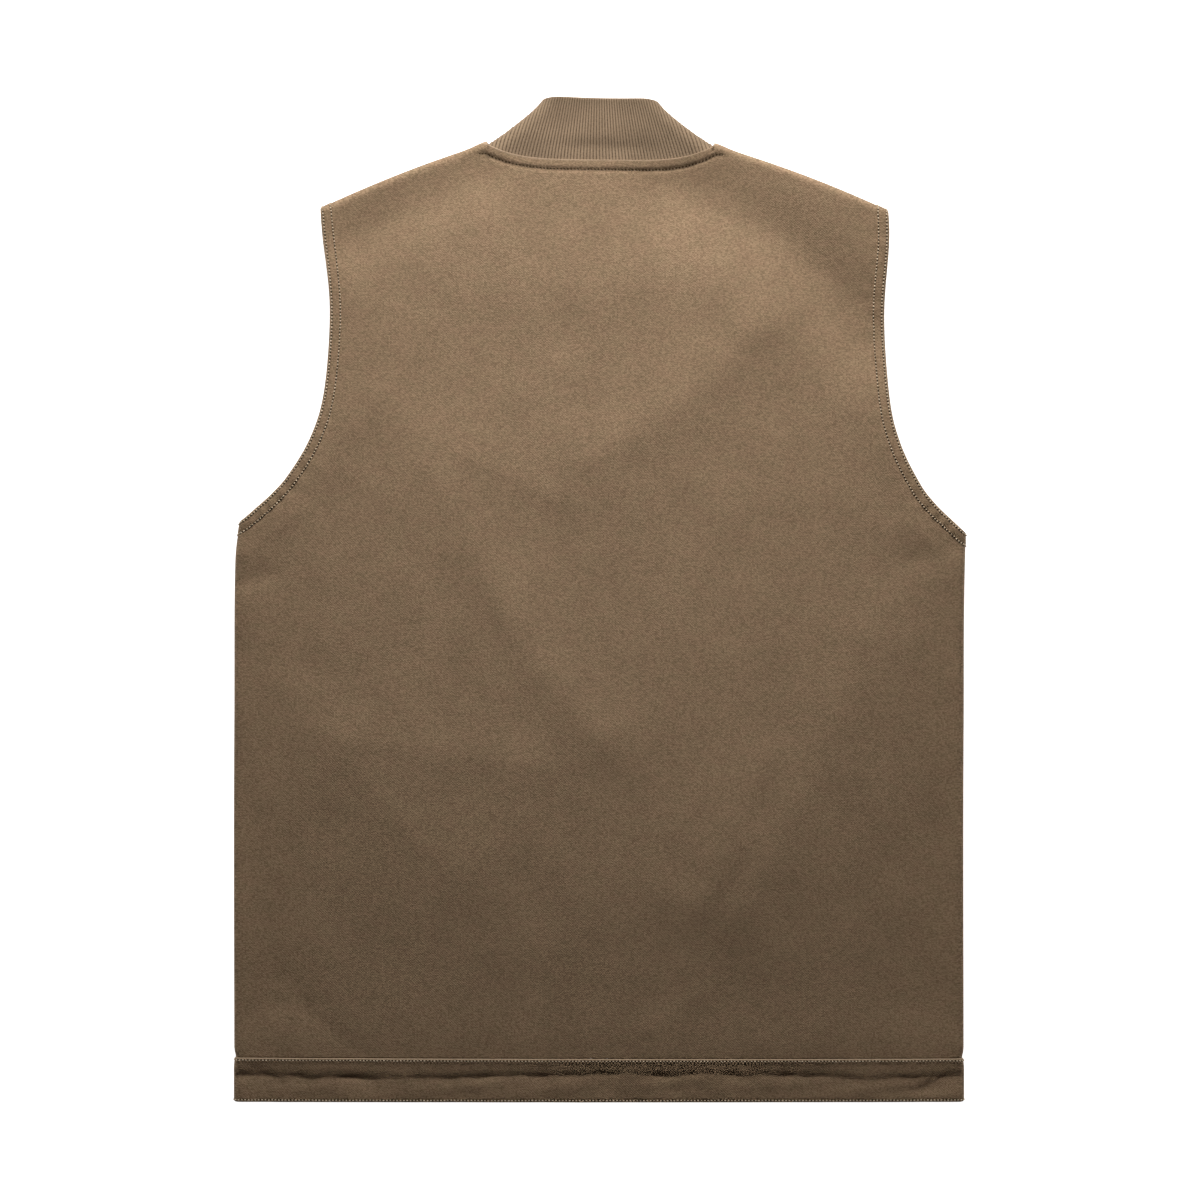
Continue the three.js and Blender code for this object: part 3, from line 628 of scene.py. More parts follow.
def panel_grid(columns, largest, top_y, face):
    """Points of a panel. A column is its side, its distance from the edge and its share of
    the width that is left inside that distance."""
    shares, edges = panel_rows(largest)
    side, from_edge, share = np.array(columns).T
    top_x = side * (PANEL_TIP[0] - from_edge) * share
    top = top_y(top_x)
    x = side * (edges[:, None] - from_edge) * share
    y = mix(HEM_SEAM_Y, top[None, :], shares[:, None])
    return body_points(x, y, face, clear=JOIN_GAP), shares, edges


def half_columns(side, to_x, largest):
    """Columns of half a panel, from the fold line inwards to a distance from the middle."""
    flat = PANEL_TIP[0] - FOLD_RADIUS
    neck = NECK_X + JOIN_GAP
    columns = [(side, step, 1.0) for step in fold_steps(FOLD_COLUMNS)]
    near_neck = [neck + 6 * MM, neck + 2.5 * MM, neck + 0.8 * MM, neck, neck - 1 * MM, neck - 4 * MM]
    places = refine([flat, *near_neck, to_x], largest)
    return columns + [(side, FOLD_RADIUS, place / flat) for place in places]


def panel_thickness(grid, shares):
    """Half walls of a panel, rounded at its lower and upper edges."""
    length = grid[-1, :, 1] - grid[0, :, 1]
    above = shares[:, None] * length[None, :]
    below = (1 - shares)[:, None] * length[None, :]
    half = CANVAS_WALL / 2
    return half * np.minimum(rounded(above, SEWN_EDGE), rounded(below, SEWN_EDGE))


def back_panel():
    left = half_columns(-1, 0.0, BACK_COLUMN_STEP)
    right = half_columns(1, 0.0, BACK_COLUMN_STEP)[::-1]

    def top_y(x):
        return np.where(np.abs(x) < NECK_X, neck_seam_y(x) - JOIN_GAP, shoulder_y(x))

    grid, shares, _ = panel_grid(left[:-1] + right, BACK_ROW_STEP, top_y, 1)
    half = panel_thickness(grid, shares)
    x, y = grid[..., 0], grid[..., 1]
    below = np.where(np.abs(x) < NECK_X + 8 * MM, neck_seam_y(x) - y, 1.0)
    # Paler along the top edge at the neck seam, more on the left: from rubbing, with a painted highlight.
    wear_and_highlight = hill(below, 1.3 * MM) * (0.75 - 0.35 * x / NECK_X)
    return wall_object(
        "back_cloth", grid, half, half, wear=wear_and_highlight, along=x, across=below, weave=cloth_uv(grid),
    )


def front_panel(side, name):
    columns = half_columns(side, ZIP_EDGE, FRONT_STEP)

    def top_y(x):
        near = np.abs(x) < NECK_X + JOIN_GAP
        return np.where(near, front_neck_y(x, JOIN_GAP), shoulder_y(x))

    grid, shares, _ = panel_grid(columns, FRONT_STEP, top_y, -1)
    grid[:, -1, 0] = side * ZIP_EDGE
    half = panel_thickness(grid, shares)
    flip = side > 0
    return wall_object(name, grid, half, half, flip=flip, weave=cloth_uv(grid), wear=0 * half)


BAND_STEPS = [0, 0.15, 0.45, 0.9, 1.4, 1.85, 2.4, 3.3, 4.6, 5.9, 7.0, 7.7, 8.1, 8.5, 8.8, 9.0]
BAND_ACROSS = np.array(BAND_STEPS) * MM


def band_relief(across):
    """Two grooves where the rows of stitches draw the band together, and a swell between."""
    grooves = hill(across - EDGE_ROW, 0.55 * MM) + hill(across - INNER_ROW, 0.6 * MM)
    swell = hill(across - (EDGE_ROW + INNER_ROW) / 2, 2.6 * MM)
    return -0.2 * MM * grooves + 0.15 * MM * swell


def band_grid(side, across):
    """Sections of an armhole band, up over the back and down the front, at steps across."""
    t = ARMHOLE_STEPS
    place = armhole_point(t[:, None] + 0 * across, across + 0 * t[:, None])
    back = body_points(side * place[..., 0], place[..., 1], 1, BAND_WALL)
    front = body_points(side * place[..., 0], place[..., 1], -1, BAND_WALL)
    return np.concatenate([back, front[1:-1][::-1]])


def row_length(points):
    steps = np.linalg.norm(np.diff(points, axis=0), axis=-1)
    return np.concatenate([[0], np.cumsum(steps)])


def band_column(across):
    return int(np.argmin(np.abs(BAND_ACROSS - across)))


def band_half_wall():
    """Half wall of an armhole band: round at its edge and square at its seam."""
    seam = ARMHOLE_BAND_WIDTH - BAND_ACROSS
    return BAND_WALL / 2 * np.minimum(rounded(BAND_ACROSS, BAND_WALL / 2), rounded(seam, SEWN_EDGE))


def band_surface(side):
    """Middle points, half walls and relief of an armhole band."""
    grid = band_grid(side, BAND_ACROSS)
    half = band_half_wall() + 0 * grid[..., 0]
    return grid, half, band_relief(BAND_ACROSS) + 0 * half


def band_row(side, across):
    """Points and normals of a row of stitches round an armhole."""
    grid, half, relief = band_surface(side)
    return surface_row(grid, half, relief, band_column(across), ring=True, flip=side > 0)


def armhole_band(side, name):
    grid, half, relief = band_surface(side)
    lengths = [row_length(band_row(side, across)[0])[:-1] for across in (EDGE_ROW, INNER_ROW)]
    nearer = np.abs(BAND_ACROSS - EDGE_ROW) < np.abs(BAND_ACROSS - INNER_ROW)
    along = np.where(nearer, lengths[0][:, None], lengths[1][:, None])
    # Paler along the outer rolled edge: from rubbing, with a painted highlight.
    wear_and_highlight = hill(BAND_ACROSS - 0.2 * MM, 0.9 * MM) + 0 * half
    return wall_object(
        name, grid, half, half, ring=True, flip=side > 0, relief=relief,
        wear=wear_and_highlight, along=along, across=BAND_ACROSS + 0 * half, weave=cloth_uv(grid),
    )


def hem_path(largest):
    """The way round the hem: across the left front, over the back and across the right front.
    Each step is a place across and a face."""
    flat = SIDE_X - FOLD_RADIUS
    roll = SIDE_X - fold_steps(FOLD_COLUMNS)
    half_front = refine([ZIP_EDGE, flat], 2 * largest)
    half_back = refine([0.0, flat], largest)
    out = np.concatenate([half_front, roll[::-1][:-1]])
    back = np.concatenate([half_back, roll[::-1]])
    x = np.concatenate([-out, -back[::-1][:-1], back, out[::-1]])
    face = np.concatenate([-np.ones(len(out)), np.ones(2 * len(back) - 1), -np.ones(len(out))])
    return x, face


HEM_ACROSS = np.array([0, 0.2, 0.6, 1.1, 1.6, 1.9, 2.3]) * MM


def hem_rows():
    low = refine([*HEM_ACROSS, HEM_BAND_WIDTH - HEM_ACROSS[-1]], HEM_ROW_STEP)
    return np.concatenate([low[:-1], HEM_BAND_WIDTH - HEM_ACROSS[::-1]])


def hem_lift(above):
    """The band's turned upper edge lies over the panel, and its rows of stitches sink in."""
    edge = 0.75 * MM * smooth((above - HEM_BAND_WIDTH + 5 * MM) / (4 * MM))
    grooves = 0.4 * MM * hill(above - (HEM_BAND_WIDTH - HEM_TOP_ROW), 0.55 * MM)
    grooves = grooves + 0.3 * MM * hill(above - HEM_EDGE_ROW, 0.6 * MM)
    return edge - grooves


def hem_grid(above):
    x, face = hem_path(HEM_COLUMN_STEP)
    y = HEM_Y + above[:, None] + 0 * x
    back = body_points(x + 0 * y, y, 1, BAND_WALL)
    front = body_points(x + 0 * y, y, -1, BAND_WALL)
    return np.where(face[None, :, None] > 0, back, front)


def hem_row(above, height):
    return int(np.argmin(np.abs(above - height)))


def hem_surface(above):
    """Middle points, half walls and relief of the hem band."""
    grid = hem_grid(above)
    edge = np.minimum(above, HEM_BAND_WIDTH - above)[:, None]
    half = BAND_WALL / 2 * rounded(edge, BAND_WALL / 2) + 0 * grid[..., 0]
    return grid, half, hem_lift(above)[:, None] + 0 * half


def hem_stitch_rows(above):
    """Points and normals of the two rows of stitches along the hem band."""
    grid, half, relief = hem_surface(above)
    heights = (HEM_EDGE_ROW, HEM_BAND_WIDTH - HEM_TOP_ROW)
    return [surface_row(grid, half, relief, hem_row(above, height), axis=0) for height in heights]


def hem_band():
    above = hem_rows()
    grid, half, relief = hem_surface(above)
    lengths = [row_length(points) for points, _ in hem_stitch_rows(above)]
    along = np.where(above[:, None] < HEM_BAND_WIDTH / 2, lengths[0][None, :], lengths[1][None, :])
    # Paler along the top edge, which faces the key light: from rubbing, with a painted highlight; the
    # lower edge is paler more weakly, from rubbing alone.
    top = hill(HEM_BAND_WIDTH - above - 0.3 * MM, 0.9 * MM) + 0.4 * hill(above, 0.8 * MM)
    return wall_object(
        "hem_cloth", grid, half, half, relief=relief,
        wear=top[:, None] + 0 * half, along=along, across=above[:, None] + 0 * half,
        weave=cloth_uv(grid),
    )


# Collar


def collar_half_width(up):
    """Half width between the side folds. Its foot spreads out into the shoulders."""
    foot = COLLAR_SPREAD * np.exp(-up / COLLAR_SPREAD_UP)
    side = mix(NECK_X, COLLAR_TOP_WIDTH / 2, 1 - (1 - up) ** COLLAR_FLARE)
    return side - COLLAR_WALL / 2 + foot


def collar_place(rib, up):
    """Place across of a rib at a height, and how far round the side fold it has turned, from
    0 on the back to 1 on the front."""
    half = collar_half_width(up)
    pitch = mix(RIB_PITCH_BASE, RIB_PITCH_TOP, up)
    at_fold = half / pitch
    beyond = (rib - at_fold) / (RIBS_ON_SIDE - at_fold)
    back = np.minimum(rib, at_fold) * pitch
    front = mix(half, ZIP_EDGE, np.clip(beyond, 0, 1))
    return np.where(rib <= at_fold, back, front), rib > at_fold


def collar_points(x, up, side, is_front):
    half = collar_half_width(up)
    share = np.clip(x / half, 0, 1)
    side_rise = COLLAR_HEIGHT - NECK_DIP + CANVAS_WALL / 2
    corner = COLLAR_CORNER * up * share**CORNER_CURVE + COLLAR_SAG * up * (1 - share**2)
    dip = np.where(is_front, FRONT_NECK_DROP - NECK_DIP * up, NECK_DIP * (1 - up))
    bow = np.where(is_front, (1 - share * share) ** FRONT_NECK_CURVE, 1 - share**NECK_CURVE)
    clear = -SEWN_UNDER * (1 - up) ** SEWN_UNDER_CURVE
    y = NECK_Y + side_rise * up - corner - dip * bow + clear
    steep = math.atan2(NECK_X - COLLAR_TOP_WIDTH / 2, side_rise)
    turn = np.clip((half - x) * math.cos(steep) / FOLD_RADIUS, 0, 1)
    turned = np.sqrt(1 - (1 - turn) ** 2)
    seam_top = back_height(side * x, neck_seam_y(x)) - NECK_RIDGE_RISE
    valley = 1.9 * MM * hill(up - 0.2, 0.12) * hill(x - 5 * MM, 34 * MM)
    top = mix(seam_top, COLLAR_RISE, smooth(up)) - valley
    z = mix(FOLD_LINE_HEIGHT, np.where(is_front, COLLAR_WALL / 2, top), turned)
    return np.stack([side * x, y, z], axis=-1)


def rib_relief(rib):
    """Rounded ribs with narrow grooves between them."""
    phase = rib - np.round(rib)
    return RIB_DEPTH * (np.sqrt(np.maximum(1 - (2 * phase) ** 2, 0)) - 1)


def rib_collar():
    ribs = np.linspace(0, RIBS_ON_SIDE, RIBS_ON_SIDE * RIB_COLUMNS + 1)
    up = np.concatenate([[0, 0.003, 0.01, 0.025], np.linspace(0.06, 0.94, COLLAR_ROWS), [0.965, 0.985, 1]])
    grids = []
    for side in (-1, 1):
        x, is_front = collar_place(ribs[None, :], up[:, None])
        grids.append(collar_points(x, up[:, None], side, is_front))
    grid = np.concatenate([grids[0][:, ::-1], grids[1][:, 1:]], axis=1)
    rib = np.concatenate([-ribs[::-1], ribs[1:]])[None, :] + 0 * grid[..., 0]
    edge = np.minimum(up, 1 - up)[:, None] * COLLAR_HEIGHT + 0 * rib
    lower = rounded(up[:, None] * COLLAR_HEIGHT, SEWN_EDGE)
    upper = rounded((1 - up)[:, None] * COLLAR_HEIGHT, COLLAR_WALL / 2)
    half = COLLAR_WALL / 2 * np.minimum(lower, upper) + 0 * rib
    inside = collar_half_width(up)[:, None] - np.abs(grid[..., 0])
    relief = rib_relief(rib) * smooth(edge / (1.5 * MM)) * mix(0.2, 1, smooth(inside / (5 * MM)))
    # The depth of each groove goes to the knit's material, which paints shade into the grooves.
    groove = -relief / RIB_DEPTH
    knit = np.stack([rib * 2 * MM, up[:, None] * COLLAR_HEIGHT + 0 * rib], axis=-1) + 0.5
    return wall_object("collar_knit", grid, half, half, relief=relief, groove=groove, weave=knit)


# Stitches


def along_path(points, normals, pitch):
    """Places, directions and normals at even steps along a path of points."""
    steps = np.linalg.norm(np.diff(points, axis=0), axis=1)
    length = np.concatenate([[0], np.cumsum(steps)])
    at = np.arange(pitch / 2, length[-1], pitch)
    place = np.stack([np.interp(at, length, points[:, i]) for i in range(3)], axis=-1)
    normal = np.stack([np.interp(at, length, normals[:, i]) for i in range(3)], axis=-1)
    ahead = np.stack([np.interp(at + pitch / 4, length, points[:, i]) for i in range(3)], axis=-1)
    behind = np.stack([np.interp(at - pitch / 4, length, points[:, i]) for i in range(3)], axis=-1)
    return place, ahead - behind, normal


def stitch_object(name, rows, radius=THREAD_RADIUS, seed=3):
    """Short arched stitches of thread along rows. A row is its points and outward normals."""
    rings, sides = 6, 6
    turn = np.linspace(0, 2 * math.pi, sides, endpoint=False)
    place, direction, normal = (np.concatenate(part) for part in zip(*rows))
    draw = np.random.default_rng(seed)
    count = len(place)
    direction /= np.linalg.norm(direction, axis=1, keepdims=True)
    across = np.cross(normal, direction)
    across /= np.linalg.norm(across, axis=1, keepdims=True)
    upward = np.cross(direction, across)
    place = place + across * draw.normal(0, 0.05 * MM, (count, 1))
    scale = draw.uniform(0.9, 1.08, (count, 1))
    parts = []
    for ring in range(rings):
        share = mix(-1, 1, ring / (rings - 1))
        thick = radius * max(math.sqrt(1 - (0.96 * share) ** 2), 0.3)
        lift = 0.7 * radius - 1.4 * radius * share**4
        centre = place + direction * (share * STITCH_LENGTH / 2) * scale + upward * lift
        for angle in turn:
            aside = across * (thick * math.cos(angle))
            parts.append(centre + aside + upward * (thick * math.sin(angle)))
    points = np.stack(parts, axis=1)
    quads = []
    for ring in range(rings - 1):
        for step in range(sides):
            low, high = ring * sides, (ring + 1) * sides
            after = (step + 1) % sides
            quads.append([low + step, high + step, high + after, low + after])
    for low in (0, (rings - 1) * sides):
        caps = [[low, low + 1, low + 2, low + 3], [low, low + 3, low + 4, low + 5]]
        quads.extend(caps if low == 0 else [cap[::-1] for cap in caps])
    quads = np.array(quads)
    every = (quads[None] + (np.arange(count) * rings * sides)[:, None, None]).reshape(-1, 4)
    along = np.tile(np.repeat(np.linspace(0, 1, rings), sides), count)
    shade = np.repeat(draw.uniform(0, 1, count), rings * sides)
    return mesh_object(name, settle(points.reshape(-1, 3)), every, dict(along=along, shade=shade))


def surface_row(grid, half, relief, column, ring=False, flip=False, axis=1):
    """Points and normals of the outer surface along a column or a row of a grid."""
    normal = grid_normals(grid, ring) * (-1 if flip else 1)
    outer = grid + normal * (half + relief)[..., None]
    if axis == 0:
        return outer[column], normal[column]
    points, normals = outer[:, column], normal[:, column]
    if ring:
        points = np.concatenate([points, points[:1]])
        normals = np.concatenate([normals, normals[:1]])
    return points, normals


def armhole_stitches(side, name):
    rows = [along_path(*band_row(side, across), STITCH_PITCH) for across in (EDGE_ROW, INNER_ROW)]
    return stitch_object(name, rows)


def hem_stitches():
    rows = [along_path(*row, STITCH_PITCH) for row in hem_stitch_rows(hem_rows())]
    return stitch_object("hem_stitches", rows, seed=4)


def neck_stitches():
    x = np.linspace(-NECK_X, NECK_X, 120)
    y = neck_seam_y(x) - NECK_ROW
    points = body_points(x[None, :], np.stack([y - 1 * MM, y, y + 1 * MM]), 1)
    normal = grid_normals(points)[1]
    path = points[1] + normal * CANVAS_WALL / 2
    rows = [along_path(path, normal, STITCH_PITCH)]
    return stitch_object("neck_stitches", rows, radius=NECK_THREAD_RADIUS, seed=5)


# Zip


def closed_zip():
    """The closed zip down the middle of the front: its tape with the raised row of teeth."""
    top_y = NECK_Y + COLLAR_HEIGHT - FRONT_NECK_DROP
    one_side = np.array([0.13, 0.26, 0.32, 0.6, 0.97, 1])
    across = np.concatenate([-one_side[::-1], [0], one_side]) * ZIP_WIDTH / 2
    y = np.arange(HEM_Y, top_y, ZIP_ROW_STEP)
    grid = np.stack(np.broadcast_arrays(across[None, :], y[:, None], ZIP_HEIGHT), axis=-1)
    tooth = np.abs(np.sin(math.pi * y / (2.8 * MM)))[:, None] ** 0.5
    row = smooth((0.3 * ZIP_WIDTH / 2 - np.abs(across)) / (0.4 * MM))
    half = ZIP_TAPE_WALL / 2 + 0 * grid[..., 0]
    relief = row * tooth * ZIP_TEETH_RISE
    return wall_object(
        "zip_teeth", grid, half, half, flip=True, relief=relief, wear=relief, weave=cloth_uv(grid),
    )


# Materials


class Shader:
    """Builds a node material. A socket or a number may stand for any input."""

    def __init__(self, name):
        self.material = bpy.data.materials.new(name)
        self.material.use_nodes = True
        self.tree = self.material.node_tree
        self.surface = self.tree.nodes["Principled BSDF"]

    def node(self, kind, inputs=(), **settings):
        node = self.tree.nodes.new(kind)
        for key, value in settings.items():
            setattr(node, key, value)
        for key, value in dict(inputs).items():
            self.put(node.inputs[key], value)
        return node

    def put(self, socket, value):
        if isinstance(value, bpy.types.NodeSocket):
            self.tree.links.new(value, socket)
        else:
            socket.default_value = value

    def math(self, operation, *values):
        node = self.node("ShaderNodeMath", dict(enumerate(values)), operation=operation)
        return node.outputs[0]

    def scaled(self, vector, scale):
        inputs = {"Vector": vector, "Scale": scale}
        return self.node("ShaderNodeMapping", inputs).outputs[0]

    def noise(self, vector, scale, detail=2.0, roughness=0.5):
        inputs = {"Vector": vector, "Scale": scale, "Detail": detail, "Roughness": roughness}
        return self.node("ShaderNodeTexNoise", inputs).outputs["Fac"]

    def ramp(self, value, low, high, to_low=0.0, to_high=1.0):
        inputs = {"Value": value, "From Min": low, "From Max": high}
        inputs.update({"To Min": to_low, "To Max": to_high})
        return self.node("ShaderNodeMapRange", inputs, interpolation_type="SMOOTHSTEP").outputs[0]

    def blend(self, share, a, b, mode="MIX"):
        node = self.node("ShaderNodeMix", data_type="RGBA", blend_type=mode)
        self.put(node.inputs[0], share)
        self.put(node.inputs[6], a)
        self.put(node.inputs[7], b)
        return node.outputs[2]

    def weave(self):
        return self.node("ShaderNodeUVMap", uv_map="weave").outputs[0]

    def attribute(self, name):
        return self.node("ShaderNodeAttribute", attribute_name=name).outputs["Fac"]

    def bump(self, height, distance, strength):
        inputs = {"Height": height, "Distance": distance, "Strength": strength}
        return self.node("ShaderNodeBump", inputs).outputs[0]

    def finish(self, color, roughness, normal, **constants):
        self.put(self.surface.inputs["Base Color"], color)
        self.put(self.surface.inputs["Roughness"], roughness)
        self.put(self.surface.inputs["Normal"], normal)
        for key, value in constants.items():
            self.surface.inputs[key.replace("_", " ")].default_value = value
        return self.material


CANVAS_LIGHT = (0.376, 0.259, 0.161, 1)
CANVAS_DARK = (0.124, 0.081, 0.045, 1)
CANVAS_RED = (0.285, 0.182, 0.122, 1)
CANVAS_GREEN = (0.243, 0.19, 0.115, 1)
# Pale canvas tone: paler from rubbing, painted highlights on edges that face the light, and the knit's
# fuzz.
PALE_WEAR_HIGHLIGHT_AND_FUZZ = (0.42, 0.32, 0.225, 1)
RIB = (0.25, 0.178, 0.115, 1)
RIB_SHADE_AND_BLOTCH = (0.075, 0.05, 0.03, 1)
THREAD = (0.55, 0.43, 0.29, 1)
THREAD_LIGHT = (0.74, 0.6, 0.43, 1)
HOLE_SHADE = (0.045, 0.03, 0.018, 1)
ZIP_TAPE = (0.12, 0.085, 0.055, 1)

YARN_PITCH = 0.95 * MM


def weave_height(shader, uv, pitch):
    """Plain weave: rounded yarns that pass over and under each other."""
    split = shader.node("ShaderNodeSeparateXYZ", {"Vector": uv})
    turn = 2 * math.pi / pitch
    across = shader.math("SINE", shader.math("MULTIPLY", split.outputs[0], turn / 2))
    along = shader.math("SINE", shader.math("MULTIPLY", split.outputs[1], turn / 2))
    return shader.math("MULTIPLY_ADD", shader.math("MULTIPLY", across, along), 0.5, 0.5)


def hole_shade_mask(shader, rows, reach):
    """Painted shade for the needle holes between the stitches of rows that run along at a place across: 1
    in a hole, 0 away from it.
    """
    along = shader.math("DIVIDE", shader.attribute("along"), STITCH_PITCH)
    phase = shader.math("SUBTRACT", along, shader.math("ROUND", along))
    along = shader.math("MULTIPLY", phase, STITCH_PITCH)
    masks = []
    for row in rows:
        across = shader.math("SUBTRACT", shader.attribute("across"), row)
        square = shader.math("ADD", shader.math("POWER", along, 2.0), shader.math("POWER", across, 2.0))
        masks.append(shader.ramp(shader.math("SQRT", square), 0.25 * reach, reach, 1.0, 0.0))
    return masks[0] if len(masks) == 1 else shader.math("MAXIMUM", *masks)


def crossing_shade(shader, uv, wide, high):
    """A shade from 0 to 1 of its own for each crossing of the yarns."""
    inputs = {0: uv, 1: (wide, high, 1.0)}
    cell = shader.node("ShaderNodeVectorMath", inputs, operation="SNAP").outputs[0]
    inputs = {"Vector": shader.scaled(cell, (1000, 1000, 1))}
    return shader.node("ShaderNodeTexWhiteNoise", inputs, noise_dimensions="2D").outputs["Value"]


def canvas_material(name, rows=(), reach=HOLE_REACH):
    shader = Shader(name)
    uv = shader.weave()
    fine = crossing_shade(shader, uv, 1.15 * MM, 0.62 * MM)
    weft = shader.noise(shader.scaled(uv, (240, 1100, 1)), 1.0, 2.0, 0.6)
    blotch = shader.noise(uv, 26.0, 3.0, 0.6)
    tint = shader.noise(shader.scaled(uv, (60, 90, 1)), 1.0, 3.0, 0.6)
    yarn = shader.math("MULTIPLY_ADD", weft, 0.5, shader.math("MULTIPLY", fine, 0.75))
    color = shader.blend(yarn, CANVAS_DARK, CANVAS_LIGHT)
    color = shader.blend(shader.ramp(tint, 0.35, 0.65, 0.0, 0.2), color, CANVAS_RED)
    color = shader.blend(shader.ramp(tint, 0.65, 0.35, 0.0, 0.2), color, CANVAS_GREEN)
    shade = shader.ramp(blotch, 0.3, 0.7, 0.95, 1.05)
    shade_color = shader.node("ShaderNodeCombineColor", {0: shade, 1: shade, 2: shade}).outputs[0]
    color = shader.blend(1.0, color, shade_color, "MULTIPLY")
    # Paler where a piece marks its edges: from rubbing, with a painted highlight where an edge faces the
    # light.
    wear = shader.math("MULTIPLY", shader.attribute("wear"), shader.ramp(weft, 0.3, 0.7, 0.35, 0.8))
    color = shader.blend(shader.math("MINIMUM", wear, 0.8), color, PALE_WEAR_HIGHLIGHT_AND_FUZZ)
    height = shader.math("ADD", weave_height(shader, uv, YARN_PITCH), yarn)
    if rows:
        painted_hole_shade = hole_shade_mask(shader, rows, reach)
        # Painted shade darkens the needle holes, and the bump sinks there too.
        color = shader.blend(shader.math("MULTIPLY", painted_hole_shade, 0.95), color, HOLE_SHADE)
        height = shader.math("SUBTRACT", height, shader.math("MULTIPLY", painted_hole_shade, 3.0))
    normal = shader.bump(height, 0.22 * MM, 0.75)
    rough = shader.ramp(weft, 0.3, 0.7, 0.82, 0.95)
    return shader.finish(color, rough, normal, Specular_IOR_Level=0.1)


def knit_material():
    shader = Shader("rib_knit")
    uv = shader.weave()
    split = shader.node("ShaderNodeSeparateXYZ", {"Vector": uv})
    loops = shader.math("SINE", shader.math("MULTIPLY", split.outputs[1], 2 * math.pi / (1.1 * MM)))
    fuzz = shader.noise(uv, 900.0, 2.0, 0.6)
    blotch = shader.noise(uv, 40.0, 3.0, 0.6)
    groove = shader.attribute("groove")
    # Painted shade darkens the grooves between the ribs; the dark blotches are the knit's own uneven tone.
    color = shader.blend(shader.ramp(groove, 0.06, 0.55), RIB, RIB_SHADE_AND_BLOTCH)
    color = shader.blend(shader.ramp(blotch, 0.3, 0.7, 0.0, 0.3), color, RIB_SHADE_AND_BLOTCH)
    color = shader.blend(shader.ramp(fuzz, 0.35, 0.7, 0.0, 0.25), color, PALE_WEAR_HIGHLIGHT_AND_FUZZ)
    height = shader.math("ADD", shader.math("MULTIPLY", loops, 0.35), fuzz)
    normal = shader.bump(height, 0.2 * MM, 0.6)
    rough = shader.ramp(fuzz, 0.3, 0.7, 0.85, 0.97)
    return shader.finish(color, rough, normal, Specular_IOR_Level=0.1)


def thread_material():
    shader = Shader("thread")
    spin = shader.math("SINE", shader.math("MULTIPLY", shader.attribute("along"), 26.0))
    shade = shader.attribute("shade")
    color = shader.blend(shader.ramp(shade, 0.0, 1.0), THREAD, THREAD_LIGHT)
    normal = shader.bump(spin, 0.1 * MM, 0.5)
    rough = shader.ramp(shade, 0.0, 1.0, 0.5, 0.7)
    return shader.finish(color, rough, normal, Sheen_Weight=0.2, Specular_IOR_Level=0.4)


def zip_material():
    shader = Shader("zip")
    uv = shader.weave()
    grain = shader.noise(uv, 700.0, 2.0, 0.6)
    wear = shader.ramp(shader.attribute("wear"), 0.0001, 0.0005)
    color = shader.blend(wear, ZIP_TAPE, CANVAS_DARK)
    height = shader.math("ADD", weave_height(shader, uv, 0.8 * MM), grain)
    normal = shader.bump(height, 0.15 * MM, 0.6)
    rough = shader.ramp(grain, 0.3, 0.7, 0.5, 0.75)
    return shader.finish(color, rough, normal, Specular_IOR_Level=0.4)


# Stage, lights and camera

# The picture is PICTURE_WIDTH wide at VIEW_LEVEL over the floor.
PICTURE_WIDTH = 924 * MM
VIEW_X = 0.77 * MM
VIEW_Y = -0.4 * MM
LENS = 135
SENSOR = 36
VIEW_LEVEL = 10 * MM
VIEW_HEIGHT = VIEW_LEVEL + PICTURE_WIDTH * LENS / SENSOR
FLOOR_SIZE = 3.0
FLOOR_Z = -0.2 * MM
FLOOR_COLOR = (0.93, 0.93, 0.93, 1)
KEY_POWER = 6.6
KEY_COLOR = (1.0, 0.98, 0.96)
KEY_SPREAD = 100
FILL_POWER = 2.2
FILL_COLOR = (1.0, 0.9, 0.78)
WORLD_COLOR = (0.9, 0.9, 0.9, 1)
WORLD_STRENGTH = 0.015


def floor():
    mesh = bpy.data.meshes.new("floor")
    ways = ((-1, -1), (1, -1), (1, 1), (-1, 1))
    corners = [(x * FLOOR_SIZE, y * FLOOR_SIZE, FLOOR_Z) for x, y in ways]
    mesh.from_pydata(corners, [], [(0, 1, 2, 3)])
    obj = linked("floor", mesh)
    shader = Shader("pale_floor")
    grain = shader.noise(shader.node("ShaderNodeTexCoord").outputs["Object"], 40.0)
    shader.put(shader.surface.inputs["Emission Color"], (1, 1, 1, 1))
    shader.put(shader.surface.inputs["Emission Strength"], 1.0)
    normal = shader.bump(grain, 0.01 * MM, 0.1)
    obj.data.materials.append(shader.finish(FLOOR_COLOR, 0.9, normal))


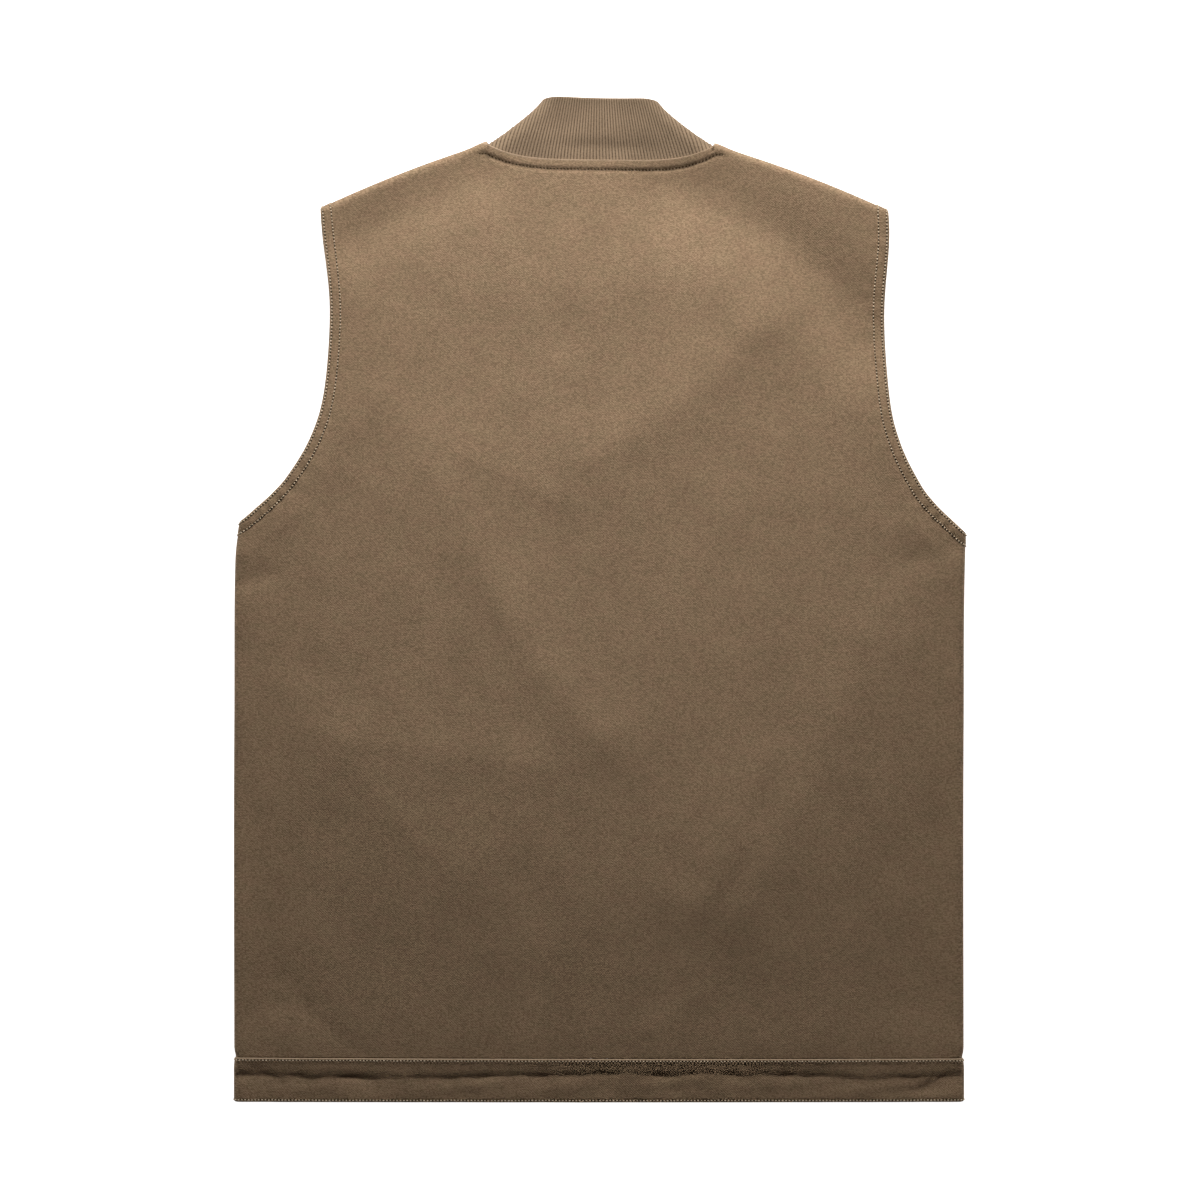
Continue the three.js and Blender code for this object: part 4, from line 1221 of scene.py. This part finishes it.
def area_light(name, place, target, width, height, energy, color, spread=180):
    light = bpy.data.lights.new(name, "AREA")
    light.shape = "RECTANGLE"
    light.size = width
    light.size_y = height
    light.energy = energy
    light.color = color
    light.spread = math.radians(spread)
    obj = linked(name, light)
    obj.location = place
    way = np.array(target) - np.array(place)
    flat = math.hypot(way[0], way[1])
    obj.rotation_euler = (math.atan2(flat, -way[2]), 0, math.atan2(-way[0], way[1]) if flat else 0)


def lights():
    key_place = (0.0, 1.02, 0.7)
    area_light("key", key_place, (0, -0.1, 0), 0.8, 0.4, KEY_POWER, KEY_COLOR, KEY_SPREAD)
    area_light("fill", (0.0, -0.3, 3.2), (0, 0, 0), 3.0, 3.0, FILL_POWER, FILL_COLOR)
    world = bpy.data.worlds.new("studio")
    world.use_nodes = True
    background = world.node_tree.nodes["Background"]
    background.inputs["Color"].default_value = WORLD_COLOR
    background.inputs["Strength"].default_value = WORLD_STRENGTH
    bpy.context.scene.world = world


def camera():
    data = bpy.data.cameras.new("camera")
    data.lens = LENS
    data.sensor_width = SENSOR
    obj = linked("camera", data)
    obj.location = (VIEW_X, VIEW_Y, VIEW_HEIGHT)
    bpy.context.scene.camera = obj


def dress(obj, material, node=None):
    """Gives a piece its finish and body, and has it stand for a solid."""
    obj.data.materials.append(material)
    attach(obj, "root")
    if node:
        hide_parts(node)
    return obj


def main():
    canvas = canvas_material("canvas")
    armhole_canvas = canvas_material("canvas_armhole", (EDGE_ROW, INNER_ROW))
    hem_canvas = canvas_material("canvas_hem", (HEM_EDGE_ROW, HEM_BAND_WIDTH - HEM_TOP_ROW))
    thread = thread_material()

    neck_canvas = canvas_material("canvas_neck", (NECK_ROW,), NECK_HOLE_REACH)
    back = dress(back_panel(), neck_canvas, "back_panel")
    for side, word in ((-1, "left"), (1, "right")):
        front = front_panel(side, f"front_cloth_{word}")
        dress(front, canvas, f"front_panel_{word}")
        band = armhole_band(side, f"armhole_cloth_{word}")
        dress(band, armhole_canvas, f"armhole_band_{word}")
        dress(armhole_stitches(side, f"armhole_stitches_{word}"), thread)
    hem = dress(hem_band(), hem_canvas, "hem_band")
    hem_sewing = dress(hem_stitches(), thread)
    neck_sewing = dress(neck_stitches(), thread)
    collar = dress(rib_collar(), knit_material(), "rib_collar")
    dress(closed_zip(), zip_material(), "front_zip")

    floor()
    lights()
    camera()
    bpy.context.scene.view_settings.view_transform = "Standard"


main()
